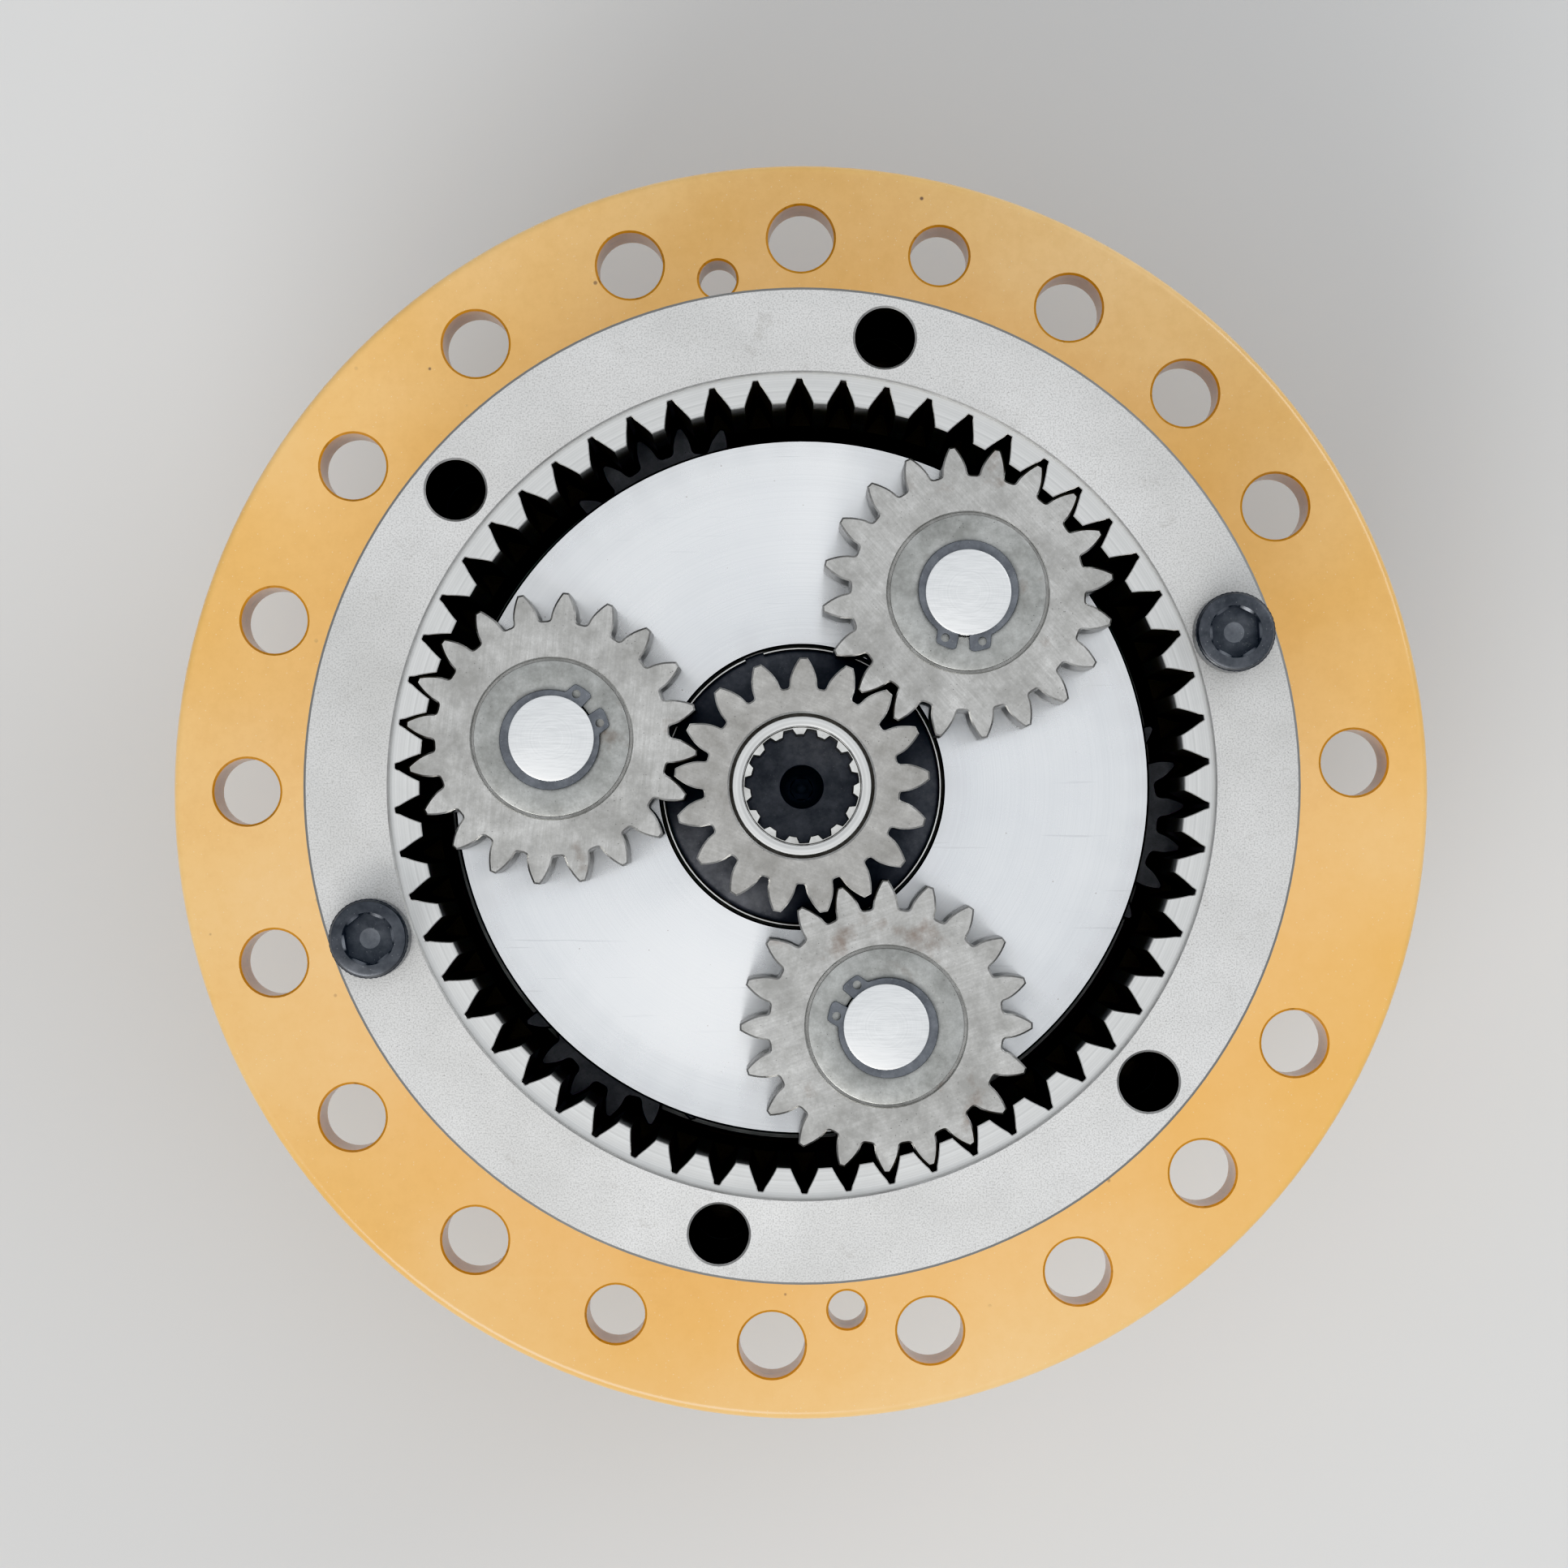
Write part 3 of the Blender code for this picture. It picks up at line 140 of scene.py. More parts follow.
def gear_outline(teeth, module, shift, root_r, tip_r, thinning=TOOTH_THINNING, tip_corner=None, steps=6):
    """A spur gear's outline with one tooth centred on +X. A ring gear's spaces have the same shape."""
    flank_end_r, tip_half_angle = tip_corner or (tip_r, None)
    base_r = teeth * module / 2 * math.cos(math.radians(PRESSURE_ANGLE))
    start_r = max(root_r, base_r + 0.02 * module)
    radii = [start_r + (flank_end_r - start_r) * step / steps for step in range(steps + 1)]
    flank = [(radius, tooth_half_angle(radius, teeth, module, shift, thinning)) for radius in radii]
    if root_r < start_r:
        foot = flank[0][1]
        flare = ROOT_FILLET_SHARE * (180 / teeth - foot)
        flank[:0] = [(root_r + (start_r - root_r) * rise, foot + flare * spread) for rise, spread in ROOT_FILLET]
    if tip_half_angle is not None:
        end = flank[-1]
        for share in (0.4, 0.75, 1.0):
            bend = math.sin(share * math.pi / 2)
            flank.append((end[0] + (tip_r - end[0]) * bend, end[1] + (tip_half_angle - end[1]) * share))
    points = []
    for tooth in range(teeth):
        centre = 360 * tooth / teeth
        points += [polar(radius, centre - half) for radius, half in flank]
        points += [polar(radius, centre + half) for radius, half in reversed(flank)]
    return points


def spline_outline(teeth, root_r, tip_r, gap=0.0):
    """Straight-sided spline teeth, pointing out when tip_r is the larger; gap widens the whole outline."""
    quarter = 360 / teeth / 4
    outward = 1 if tip_r > root_r else -1
    slack = math.degrees(gap / tip_r) * outward
    root_half, tip_half = quarter * 1.25 + slack, quarter * 0.75 + slack
    points = []
    for tooth in range(teeth):
        centre = 360 * tooth / teeth
        points.append(polar(root_r + gap, centre - root_half))
        points += [polar(tip_r + gap, centre + side * tip_half) for side in (-1, 0, 1)]
        points.append(polar(root_r + gap, centre + root_half))
        points.append(polar(root_r + gap, centre + quarter * 2))
    return points


def hexagon(across_flats, side_steps):
    """A hexagon with its corners slightly rounded and several points along each side."""
    corner_r = across_flats / 2 / math.cos(math.pi / 6)
    points = []
    for side in range(6):
        start, end = Vector(polar(corner_r, 60 * side)), Vector(polar(corner_r, 60 * side + 60))
        points += [tuple(start.lerp(end, (step + 0.5) / side_steps)) for step in range(side_steps)]
    return points


def working_shift(centre_distance, teeth_sum):
    pressure = math.radians(PRESSURE_ANGLE)
    working = math.acos(teeth_sum * MODULE / 2 * math.cos(pressure) / centre_distance)
    return (involute(working) - involute(pressure)) * teeth_sum / (2 * math.tan(pressure))


def stage_shifts(centre_distance, sun_teeth, planet_teeth):
    planet_shift = RING_SHIFT - working_shift(centre_distance, RING_TEETH - planet_teeth)
    return working_shift(centre_distance, sun_teeth + planet_teeth) - planet_shift, planet_shift


def wrapped(angle, period):
    return (angle + period / 2) % period - period / 2


def planet_angles(carrier_angle):
    return [carrier_angle + 120 * step for step in range(3)]


def planet_turn(planet_angle, teeth):
    space = wrapped(RING_PHASE - planet_angle, 360 / RING_TEETH)
    return planet_angle + space * RING_TEETH / teeth


def sun_turn(carrier_angle, sun_teeth, planet_teeth):
    tooth = planet_turn(carrier_angle, planet_teeth)
    inward = wrapped(tooth - carrier_angle - 180, 360 / planet_teeth)
    return carrier_angle - inward * planet_teeth / sun_teeth + 180 / sun_teeth


# ----- solids


class Shell:
    """A closed mesh put together from walls between outlines and flat caps, in millimetres.

    An outline is a list of points, or a radius, which stands for a circle of `count` points.
    """

    def __init__(self, count=HUGE_ROUND):
        self.mesh = bmesh.new()
        self.corners = {}
        self.count = count

    def points(self, outline):
        return circle(outline, self.count) if isinstance(outline, float) else outline

    def corner(self, point, height):
        key = (round(point[0], 5), round(point[1], 5), round(height, 5))
        if key not in self.corners:
            self.corners[key] = self.mesh.verts.new(key)
        return self.corners[key]

    def wall(self, lower, low, upper, high, slot=0):
        lower, upper = self.points(lower), self.points(upper)
        for step in range(len(lower)):
            after = (step + 1) % len(lower)
            near = (self.corner(lower[step], low), self.corner(lower[after], low))
            far = (self.corner(upper[after], high), self.corner(upper[step], high))
            self.mesh.faces.new(near + far).material_index = slot

    def stack(self, levels, slot=0):
        """Walls through (outline, height) levels; a level may give the slot of the wall above it."""
        for (lower, low, *own), (upper, high, *_) in zip(levels, levels[1:]):
            self.wall(lower, low, upper, high, own[0] if own else slot)

    def sleeve(self, outline, edge, low, high, chamfer, edge_slot=0, slot=0):
        """An outline's wall, chamfered at both ends to its edge outline."""
        self.stack([(edge, low, edge_slot), (outline, low + chamfer, slot)])
        self.stack([(outline, low + chamfer, slot), (outline, high - chamfer, edge_slot), (edge, high)])

    def cap(self, height, outline, holes=(), slot=0):
        loops = [self.points(loop) for loop in (outline, *holes)]
        points = [point for loop in loops for point in loop]
        for triangle in tessellate_polygon([[Vector((x, y, 0.0)) for x, y in loop] for loop in loops]):
            corners = [self.corner(points[index], height) for index in triangle]
            self.mesh.faces.new(corners).material_index = slot

    def peak(self, outline, height, tip, slot=0):
        """A cone from an outline to one point above or below its middle."""
        middle = sum((Vector(point) for point in outline), Vector((0, 0))) / len(outline)
        for step in range(len(outline)):
            after = (step + 1) % len(outline)
            corners = (self.corner(outline[step], height), self.corner(outline[after], height))
            self.mesh.faces.new((*corners, self.corner(middle, tip))).material_index = slot

    def build(self, name, finishes, centre=(0.0, 0.0), turn=0.0):
        """The object, with one finish from PAINTS for each slot."""
        bmesh.ops.recalc_face_normals(self.mesh, faces=self.mesh.faces)
        mesh = bpy.data.meshes.new(name)
        self.mesh.to_mesh(mesh)
        self.mesh.free()
        mesh.transform(Matrix.Scale(MM, 4))
        mesh.shade_smooth()
        mesh.set_sharp_from_angle(angle=math.radians(SHARP_ANGLE))
        for finish in finishes:
            mesh.materials.append(PAINTS[finish])
        thing = bpy.data.objects.new(name, mesh)
        bpy.context.scene.collection.objects.link(thing)
        thing.location = (centre[0] * MM, centre[1] * MM, 0.0)
        thing.rotation_euler.z = math.radians(turn)
        return thing

    def replace(self, node, slot, finishes, centre=(0.0, 0.0), turn=0.0):
        """Builds the mesh and shows it in a CAD node's place."""
        stand_for(self.build(node + "_detail", finishes, centre, turn), node)


def stand_for(piece, node):
    """Rides the piece on its CAD node's body and shows it in that node's place."""
    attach(piece, NODE_BODY[node])
    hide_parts(node)


def eased(profile, size, steps=2):
    """A closed (radius, height) profile with each corner rounded; a corner may carry its own size."""
    rounded = []
    for index, (radius, height, *own) in enumerate(profile):
        here = Vector((radius, height))
        before = Vector(profile[index - 1][:2]) - here
        after = Vector(profile[(index + 1) % len(profile)][:2]) - here
        reach = min(own[0] if own else size, before.length * 0.45, after.length * 0.45)
        if radius == 0 or reach <= 0:
            rounded.append(tuple(here))
            continue
        start, end = here + before.normalized() * reach, here + after.normalized() * reach
        for step in range(steps + 1):
            share = step / steps
            rounded.append(tuple(start.lerp(here, share).lerp(here.lerp(end, share), share)))
    return rounded


def spin(node, slot, finish, profile, count=MEDIUM_ROUND, centre=(0.0, 0.0)):
    """A closed (radius, height) profile spun round its axis, in a CAD node's place."""
    shell = Shell(count)
    rings = []
    for radius, height in profile:
        spots = circle(radius, count if radius else 1)
        rings.append([shell.mesh.verts.new((*spot, height)) for spot in spots])
    for index, ring in enumerate(rings):
        below = rings[index - 1]
        if len(ring) == len(below) == 1:
            continue
        for step in range(count):
            after = (step + 1) % count
            corners = [below[step % len(below)], below[after % len(below)]]
            corners += [ring[after % len(ring)], ring[step % len(ring)]]
            shell.mesh.faces.new(list(dict.fromkeys(corners)))
    shell.replace(node, slot, (finish,), centre)


def ring_profile(inner_r, outer_r, low, high):
    return [(inner_r, low), (outer_r, low), (outer_r, high), (inner_r, high)]


# ----- materials


class Paint:
    """A finish under construction: its node tree, its texture place and the colour so far."""

    def __init__(self, name, roughness, metallic=1.0, **sockets):
        PAINTS[name] = material = bpy.data.materials.new(name)
        material.use_nodes = True
        self.tree = material.node_tree
        self.shader = self.tree.nodes["Principled BSDF"]
        for socket, value in {"Roughness": roughness, "Metallic": metallic, **sockets}.items():
            self.feed(value, self.shader, socket.replace("_", " "))
        self.fixed_place = self.node("TexCoord").outputs["Object"]
        chance = self.node("ObjectInfo").outputs["Random"]
        away = self.node("VectorMath", {0: PATTERN_STEP, "Scale": chance}, operation="SCALE").outputs[0]
        self.place = self.node("VectorMath", {0: self.fixed_place, 1: away}, operation="ADD").outputs[0]

    def node(self, kind, inputs=None, **settings):
        node = self.tree.nodes.new("ShaderNode" + kind)
        for key, value in settings.items():
            setattr(node, key, value)
        for socket, value in (inputs or {}).items():
            self.feed(value, node, socket)
        return node

    def feed(self, value, node, socket):
        """Links an output to a socket, or sets the socket to a number, a list or a colour."""
        if isinstance(value, bpy.types.NodeSocket):
            self.tree.links.new(value, node.inputs[socket])
        else:
            node.inputs[socket].default_value = (*value, 1.0) if isinstance(value, tuple) else value

    def grain(self, place, scale, detail, roughness=0.5):
        inputs = {"Vector": place, "Scale": scale, "Detail": detail, "Roughness": roughness}
        return self.node("TexNoise", inputs).outputs["Fac"]

    def noise(self, scale, detail=4.0, roughness=0.55, stretch=(1.0, 1.0), turn=0.0, fixed=False):
        """Noise from about 0 to 1, its grain 1/scale metres across, stretched along turned axes."""
        place = self.fixed_place if fixed else self.place
        inputs = {"Vector": place, "Rotation": [0.0, 0.0, math.radians(turn)], "Scale": [*stretch, 1.0]}
        return self.grain(self.node("Mapping", inputs).outputs["Vector"], scale, detail, roughness)

    def rings(self, scale):
        """Turning marks: noise that depends only on the distance from the axis and the height."""
        split = self.node("SeparateXYZ", {0: self.fixed_place}).outputs
        flat = self.node("CombineXYZ", {"X": split["X"], "Y": split["Y"]}).outputs[0]
        distance = self.node("VectorMath", {0: flat}, operation="LENGTH").outputs["Value"]
        return self.grain(self.node("CombineXYZ", {"X": distance, "Y": split["Z"]}).outputs[0], scale, 3.0)

    def ramp(self, source, low, high, below=0.0, above=1.0):
        """Goes evenly from `below` where the source is at `low` to `above` where it is at `high`."""
        node = self.node("ValToRGB", {"Fac": source})
        for element, position, value in zip(node.color_ramp.elements, (low, high), (below, above)):
            element.position = position
            element.color = (value, value, value, 1.0)
        return node.outputs["Color"]

    def specks(self, scale, size, amount=1.0):
        """The amount in small scattered spots and 0 elsewhere."""
        spots = self.node("TexVoronoi", {"Vector": self.place, "Scale": scale})
        return self.ramp(spots.outputs["Distance"], size * 0.6, size, amount, 0.0)

    def product(self, first, second):
        return self.node("Math", {0: first, 1: second}, operation="MULTIPLY").outputs["Value"]

    def blend(self, share, first, second):
        """Makes the colour so far a blend of two."""
        self.base = self.node("Mix", {0: share, 6: first, 7: second}, data_type="RGBA").outputs[2]
        self.feed(self.base, self.shader, "Base Color")

    def over(self, share, colour):
        """Lays a colour over the colour so far."""
        self.blend(share, self.base, colour)

    def roughness(self, source, low, high):
        node = self.node("MapRange", {"Value": source, "To Min": low, "To Max": high})
        self.feed(node.outputs["Result"], self.shader, "Roughness")

    def bump(self, source, strength, depth):
        """Adds relief `depth` metres deep on top of any bump already there."""
        node = self.node("Bump", {"Height": source, "Strength": strength, "Distance": depth})
        for link in self.shader.inputs["Normal"].links:
            self.feed(link.from_socket, node, "Normal")
        self.feed(node.outputs["Normal"], self.shader, "Normal")


def scaled(colour, factor):
    return tuple(value * factor for value in colour)


def metal(name, light, dark, roughness, mottle=60.0, streaks=None, stain=None):
    """Bare steel: mottled between two greys, with fine grain, directional streaks and a few stains."""
    paint = Paint(name, sum(roughness) / 2)
    paint.blend(paint.ramp(paint.noise(mottle, 7.0, 0.75), 0.36, 0.64), dark, light)
    fine = paint.noise(STEEL_GRAIN, 3.0, 0.6)
    paint.over(paint.ramp(fine, 0.30, 0.62, 0.30, 0.0), dark)
    if streaks:
        stretch, turn, amount = streaks
        lines = paint.noise(STEEL_GRAIN * 0.9, 5.0, 0.7, (1.0, stretch), turn)
        paint.over(paint.ramp(lines, 0.40, 0.60, amount, 0.0), dark)
        paint.bump(lines, 0.5, STEEL_RELIEF)
    pits = paint.product(paint.specks(520.0, 0.13), paint.ramp(paint.noise(70.0), 0.42, 0.62, 0.0, 0.8))
    paint.over(pits, scaled(dark, 0.4))
    if stain:
        paint.over(paint.ramp(paint.noise(38.0, 5.0, 0.6), 0.62, 0.76, 0.0, 0.7), stain)
    paint.roughness(paint.noise(mottle * 2.3, 4.0, 0.6), *roughness)
    paint.bump(fine, 0.6, STEEL_RELIEF)


def yellow_enamel():
    """Glossy paint with broad patches between a deeper and a lighter yellow, dust and a few chips; the lighter
    yellow is partly a painted highlight.
    """
    paint = Paint("yellow_enamel", 0.3, metallic=0.0, Coat_Weight=0.6, Coat_Roughness=0.06, IOR=1.5)
    # Broad patches: partly real changes of paint tone, partly a painted highlight in the lighter yellow.
    broad = paint.ramp(paint.noise(5.0, 3.0, fixed=True), 0.35, 0.65)
    paint.blend(broad, (0.79, 0.465, 0.13), (0.88, 0.60, 0.27))
    paint.over(paint.ramp(paint.noise(160.0, 5.0, 0.7), 0.35, 0.6, 0.12, 0.0), (0.55, 0.27, 0.04))
    paint.over(paint.specks(420.0, 0.11, 0.55), (0.93, 0.80, 0.55))
    chips = paint.product(paint.specks(95.0, 0.10), paint.ramp(paint.noise(14.0), 0.55, 0.62))
    paint.over(chips, (0.20, 0.12, 0.07))
    paint.roughness(paint.noise(30.0, 5.0), 0.24, 0.42)
    paint.bump(paint.noise(620.0, 2.0), 0.35, 0.00003)
    paint.bump(chips, -0.5, 0.0002)


def enamel_rim():
    """A darker, browner orange, used on the chamfers and walls of holes."""
    paint = Paint("enamel_rim", 0.35, metallic=0.0, Coat_Weight=0.5, Coat_Roughness=0.1)
    paint.blend(paint.noise(60.0), (0.50, 0.23, 0.035), (0.62, 0.31, 0.06))
    paint.over(paint.ramp(paint.noise(240.0, 5.0, 0.7), 0.55, 0.75, 0.0, 0.8), (0.22, 0.11, 0.04))
    paint.bump(paint.noise(800.0), 0.4, 0.00004)


def blasted_steel():
    """The ring gear's top: bead-blasted, with a fine sandy grain and faint broad shading."""
    paint = Paint("blasted_steel", 0.5, metallic=0.9)
    grain = paint.noise(1700.0, 2.0, 0.5)
    broad = paint.ramp(paint.noise(11.0, 5.0, 0.6), 0.34, 0.66)
    paint.blend(broad, (0.60, 0.595, 0.58), (0.73, 0.725, 0.715))
    paint.over(paint.ramp(grain, 0.34, 0.56, 0.5, 0.0), (0.36, 0.355, 0.345))
    paint.over(paint.ramp(paint.noise(75.0, 6.0, 0.75), 0.60, 0.74, 0.0, 0.35), (0.36, 0.34, 0.31))
    paint.over(paint.specks(330.0, 0.09, 0.5), (0.20, 0.19, 0.18))
    paint.roughness(paint.noise(90.0, 5.0), 0.40, 0.58)
    paint.bump(grain, 0.7, 0.00006)


def turned_steel(name, light, dark, roughness, marks):
    """Lathe-turned steel, with rings round its axis."""
    paint = Paint(name, sum(roughness) / 2)
    rings = paint.rings(marks)
    paint.blend(paint.ramp(rings, 0.38, 0.62), dark, light)
    paint.over(paint.ramp(paint.noise(45.0, 6.0, 0.7), 0.50, 0.75, 0.0, 0.5), dark)
    paint.roughness(paint.noise(130.0, 4.0), *roughness)
    paint.bump(rings, 0.35, 0.00003)
    paint.bump(paint.noise(1500.0, 2.0), 0.2, 0.00002)


def mirror_disc():
    """The upper carrier's face: fine-turned, nearly a mirror, with light scratches."""
    paint = Paint("mirror_disc", 0.16, Anisotropic=0.8, Anisotropic_Rotation=0.25)
    tangent = paint.node("Tangent", direction_type="RADIAL", axis="Z").outputs["Tangent"]
    paint.feed(tangent, paint.shader, "Tangent")
    rings = paint.rings(2600.0)
    cloudy = paint.ramp(paint.noise(9.0, 4.0, 0.6), 0.35, 0.65)
    paint.blend(cloudy, (0.86, 0.87, 0.885), (0.93, 0.935, 0.94))
    paint.over(paint.ramp(rings, 0.30, 0.60, 0.10, 0.0), (0.5, 0.52, 0.55))
    for turn, amount in ((25.0, 0.30), (112.0, 0.24), (71.0, 0.20)):
        scratch = paint.ramp(paint.noise(520.0, 2.0, 0.5, (0.035, 1.0), turn), 0.72, 0.76)
        paint.bump(scratch, -amount, 0.00002)
        paint.over(paint.product(scratch, amount), (0.55, 0.56, 0.58))
    paint.over(paint.specks(120.0, 0.035, 0.6), (0.30, 0.24, 0.19))
    paint.roughness(paint.noise(22.0, 6.0, 0.7), 0.20, 0.34)
    paint.bump(rings, 0.12, 0.00001)


def black_oxide(name, colour, worn, roughness):
    """Blackened steel, rubbed bright in patches."""
    paint = Paint(name, 0.38, metallic=0.85)
    paint.blend(paint.ramp(paint.noise(120.0, 5.0, 0.7), 0.35, 0.7), colour, scaled(colour, 1.7))
    paint.over(paint.specks(620.0, 0.12, 0.7), worn)
    paint.over(paint.ramp(paint.noise(260.0, 6.0, 0.8), 0.62, 0.76, 0.0, 0.6), worn)
    paint.roughness(paint.noise(200.0, 4.0), *roughness)
    paint.bump(paint.noise(1900.0, 2.0), 0.35, 0.00003)


def brushed_pin():
    """A pin's end face: bright, ground in one direction."""
    paint = Paint("brushed_pin", 0.3)
    lines = paint.noise(2600.0, 4.0, 0.6, (0.05, 1.0), 58.0)
    paint.blend(paint.ramp(lines, 0.36, 0.62), (0.78, 0.785, 0.785), (0.90, 0.905, 0.905))
    paint.over(paint.ramp(paint.rings(1500.0), 0.35, 0.6, 0.18, 0.0), (0.5, 0.5, 0.5))
    paint.roughness(lines, 0.24, 0.38)
    paint.bump(lines, 0.22, 0.00001)


def rubber():
    paint = Paint("seal_rubber", 0.6, metallic=0.0)
    paint.blend(paint.noise(80.0, 5.0), (0.012, 0.012, 0.013), (0.03, 0.029, 0.028))
    paint.over(paint.specks(500.0, 0.1, 0.5), (0.14, 0.12, 0.1))
    paint.roughness(paint.noise(120.0), 0.5, 0.75)
    paint.bump(paint.noise(900.0, 3.0), 0.4, 0.00005)


def floor_paint():
    paint = Paint("studio_floor", 0.7, metallic=0.0)
    paint.blend(paint.noise(1.5, 3.0), (0.60, 0.60, 0.595), (0.66, 0.66, 0.655))
    paint.bump(paint.noise(400.0), 0.1, 0.0001)


def make_paints():
    """Every finish. A metal has a light and a dark colour and its roughness from and to."""
    for make in (floor_paint, yellow_enamel, enamel_rim, blasted_steel, brushed_pin, mirror_disc, rubber):
        make()
    # Light steel for chamfers and edges: bright machined metal, lightened further as a painted edge highlight.
    metal("bright_edge", (0.82, 0.82, 0.80), (0.55, 0.54, 0.52), (0.22, 0.40))
    # Painted shade: near-black steel for tooth flanks, hole walls and recesses, standing in for the shade deep
    # between parts.
    metal("painted_shade_steel", (0.125, 0.12, 0.112), (0.065, 0.062, 0.058), (0.20, 0.42), 90.0)
    # Painted shade: near-black steel for the housing's bores, darkened so the deep inside reads dark.
    metal("shaded_chamber", (0.10, 0.094, 0.085), (0.05, 0.047, 0.043), (0.30, 0.55))
    metal("forged_steel", (0.34, 0.335, 0.325), (0.19, 0.185, 0.18), (0.32, 0.5), 28.0)
    # Painted shade: darker steel for the second-stage planets and sun, which lie deep in shade.
    metal("deep_shaded_steel", (0.26, 0.26, 0.265), (0.16, 0.16, 0.165), (0.35, 0.5))
    metal("sun_steel", (0.57, 0.56, 0.54), (0.34, 0.33, 0.312), (0.34, 0.5), streaks=(0.08, 80.0, 0.3))
    planet_colours, planet_stain = ((0.66, 0.655, 0.64), (0.37, 0.365, 0.35)), (0.17, 0.105, 0.07)
    metal("planet_steel", *planet_colours, (0.36, 0.54), streaks=(0.05, 33.0, 0.40), stain=planet_stain)
    washer_colours, washer_stain = ((0.52, 0.525, 0.51), (0.31, 0.312, 0.298)), (0.16, 0.11, 0.08)
    metal("washer_steel", *washer_colours, (0.28, 0.46), 90.0, stain=washer_stain)
    turned_steel("ring_step", (0.74, 0.74, 0.73), (0.60, 0.60, 0.59), (0.32, 0.46), 1100.0)
    turned_steel("ground_steel", (0.66, 0.67, 0.68), (0.45, 0.46, 0.47), (0.2, 0.34), 1600.0)
    turned_steel("machined_steel", (0.44, 0.44, 0.43), (0.34, 0.34, 0.333), (0.3, 0.46), 2400.0)
    turned_steel("cage_brass", (0.50, 0.34, 0.12), (0.34, 0.22, 0.08), (0.25, 0.4), 700.0)
    turned_steel("thread_steel", (0.20, 0.19, 0.18), (0.05, 0.047, 0.043), (0.3, 0.5), 700.0)
    black_oxide("black_oxide", (0.070, 0.074, 0.082), (0.26, 0.27, 0.28), (0.26, 0.44))
    black_oxide("thrust_plate_finish", (0.085, 0.087, 0.094), (0.19, 0.19, 0.195), (0.36, 0.5))
    # Blued spring steel for the circlips, also used as a painted highlight on screw socket mouths and drill points.
    black_oxide("blued_spring_and_highlight", (0.13, 0.137, 0.15), (0.34, 0.345, 0.35), (0.26, 0.4))


# ----- housing and ring gear


def arc(centre_r, centre_z, radius, start, end, steps):
    """Points along an arc of a (radius, height) profile."""
    return [polar(radius, start + (end - start) * step / steps, (centre_r, centre_z)) for step in range(steps + 1)]


def bolt_holes(shell, radius, centres, bottom, top, chamfer, rim_slot, wall_slot, count=SMALL_ROUND):
    """Chamfered through holes. Returns their outlines at the two faces."""
    faces = []
    for centre in centres:
        wall, mouth = circle(radius, count, centre), circle(radius + chamfer, count, centre)
        shell.sleeve(wall, mouth, bottom, top, chamfer, rim_slot, wall_slot)
        faces.append(mouth)
    return faces


def blind_holes(shell, radius, centres, floor, top, chamfer, wall_slot):
    """Chamfered blind holes with a drilled, coned bottom. Returns their outlines at the top face."""
    faces = []
    for centre in centres:
        wall, mouth = circle(radius, SMALL_ROUND, centre), circle(radius + chamfer, SMALL_ROUND, centre)
        shell.stack([(wall, floor, wall_slot), (wall, top - chamfer, 3), (mouth, top)])
        shell.peak(wall, floor, floor - radius * 0.45, wall_slot)
        faces.append(mouth)
    return faces


def cut_drain_hole(thing, radius, span):
    """Cuts the drain hole with a Boolean and keeps its result."""
    cutter = Shell()
    outline = circle(radius, SMALL_ROUND)
    cutter.wall(outline, span[0], outline, span[1])
    for height in span:
        cutter.cap(height, outline)
    tool = cutter.build("drain_cutter", ("yellow_enamel",))
    tool.matrix_world = drain_placement()
    cut = thing.modifiers.new("drain", "BOOLEAN")
    cut.operation = "DIFFERENCE"
    cut.object = tool
    bpy.context.view_layer.update()
    evaluated = thing.evaluated_get(bpy.context.evaluated_depsgraph_get())
    thing.data = bpy.data.meshes.new_from_object(evaluated)
    thing.modifiers.clear()
    bpy.data.objects.remove(tool)
    thing.data.set_sharp_from_angle(angle=math.radians(SHARP_ANGLE))


def drain_placement():
    outwards = Matrix.Rotation(math.radians(DRAIN_ANGLE), 4, "Z") @ Matrix.Rotation(math.pi / 2, 4, "Y")
    return Matrix.Translation((0.0, 0.0, DRAIN_HEIGHT * MM)) @ outwards


def at(circle_r, angles):
    return [polar(circle_r, angle) for angle in angles]


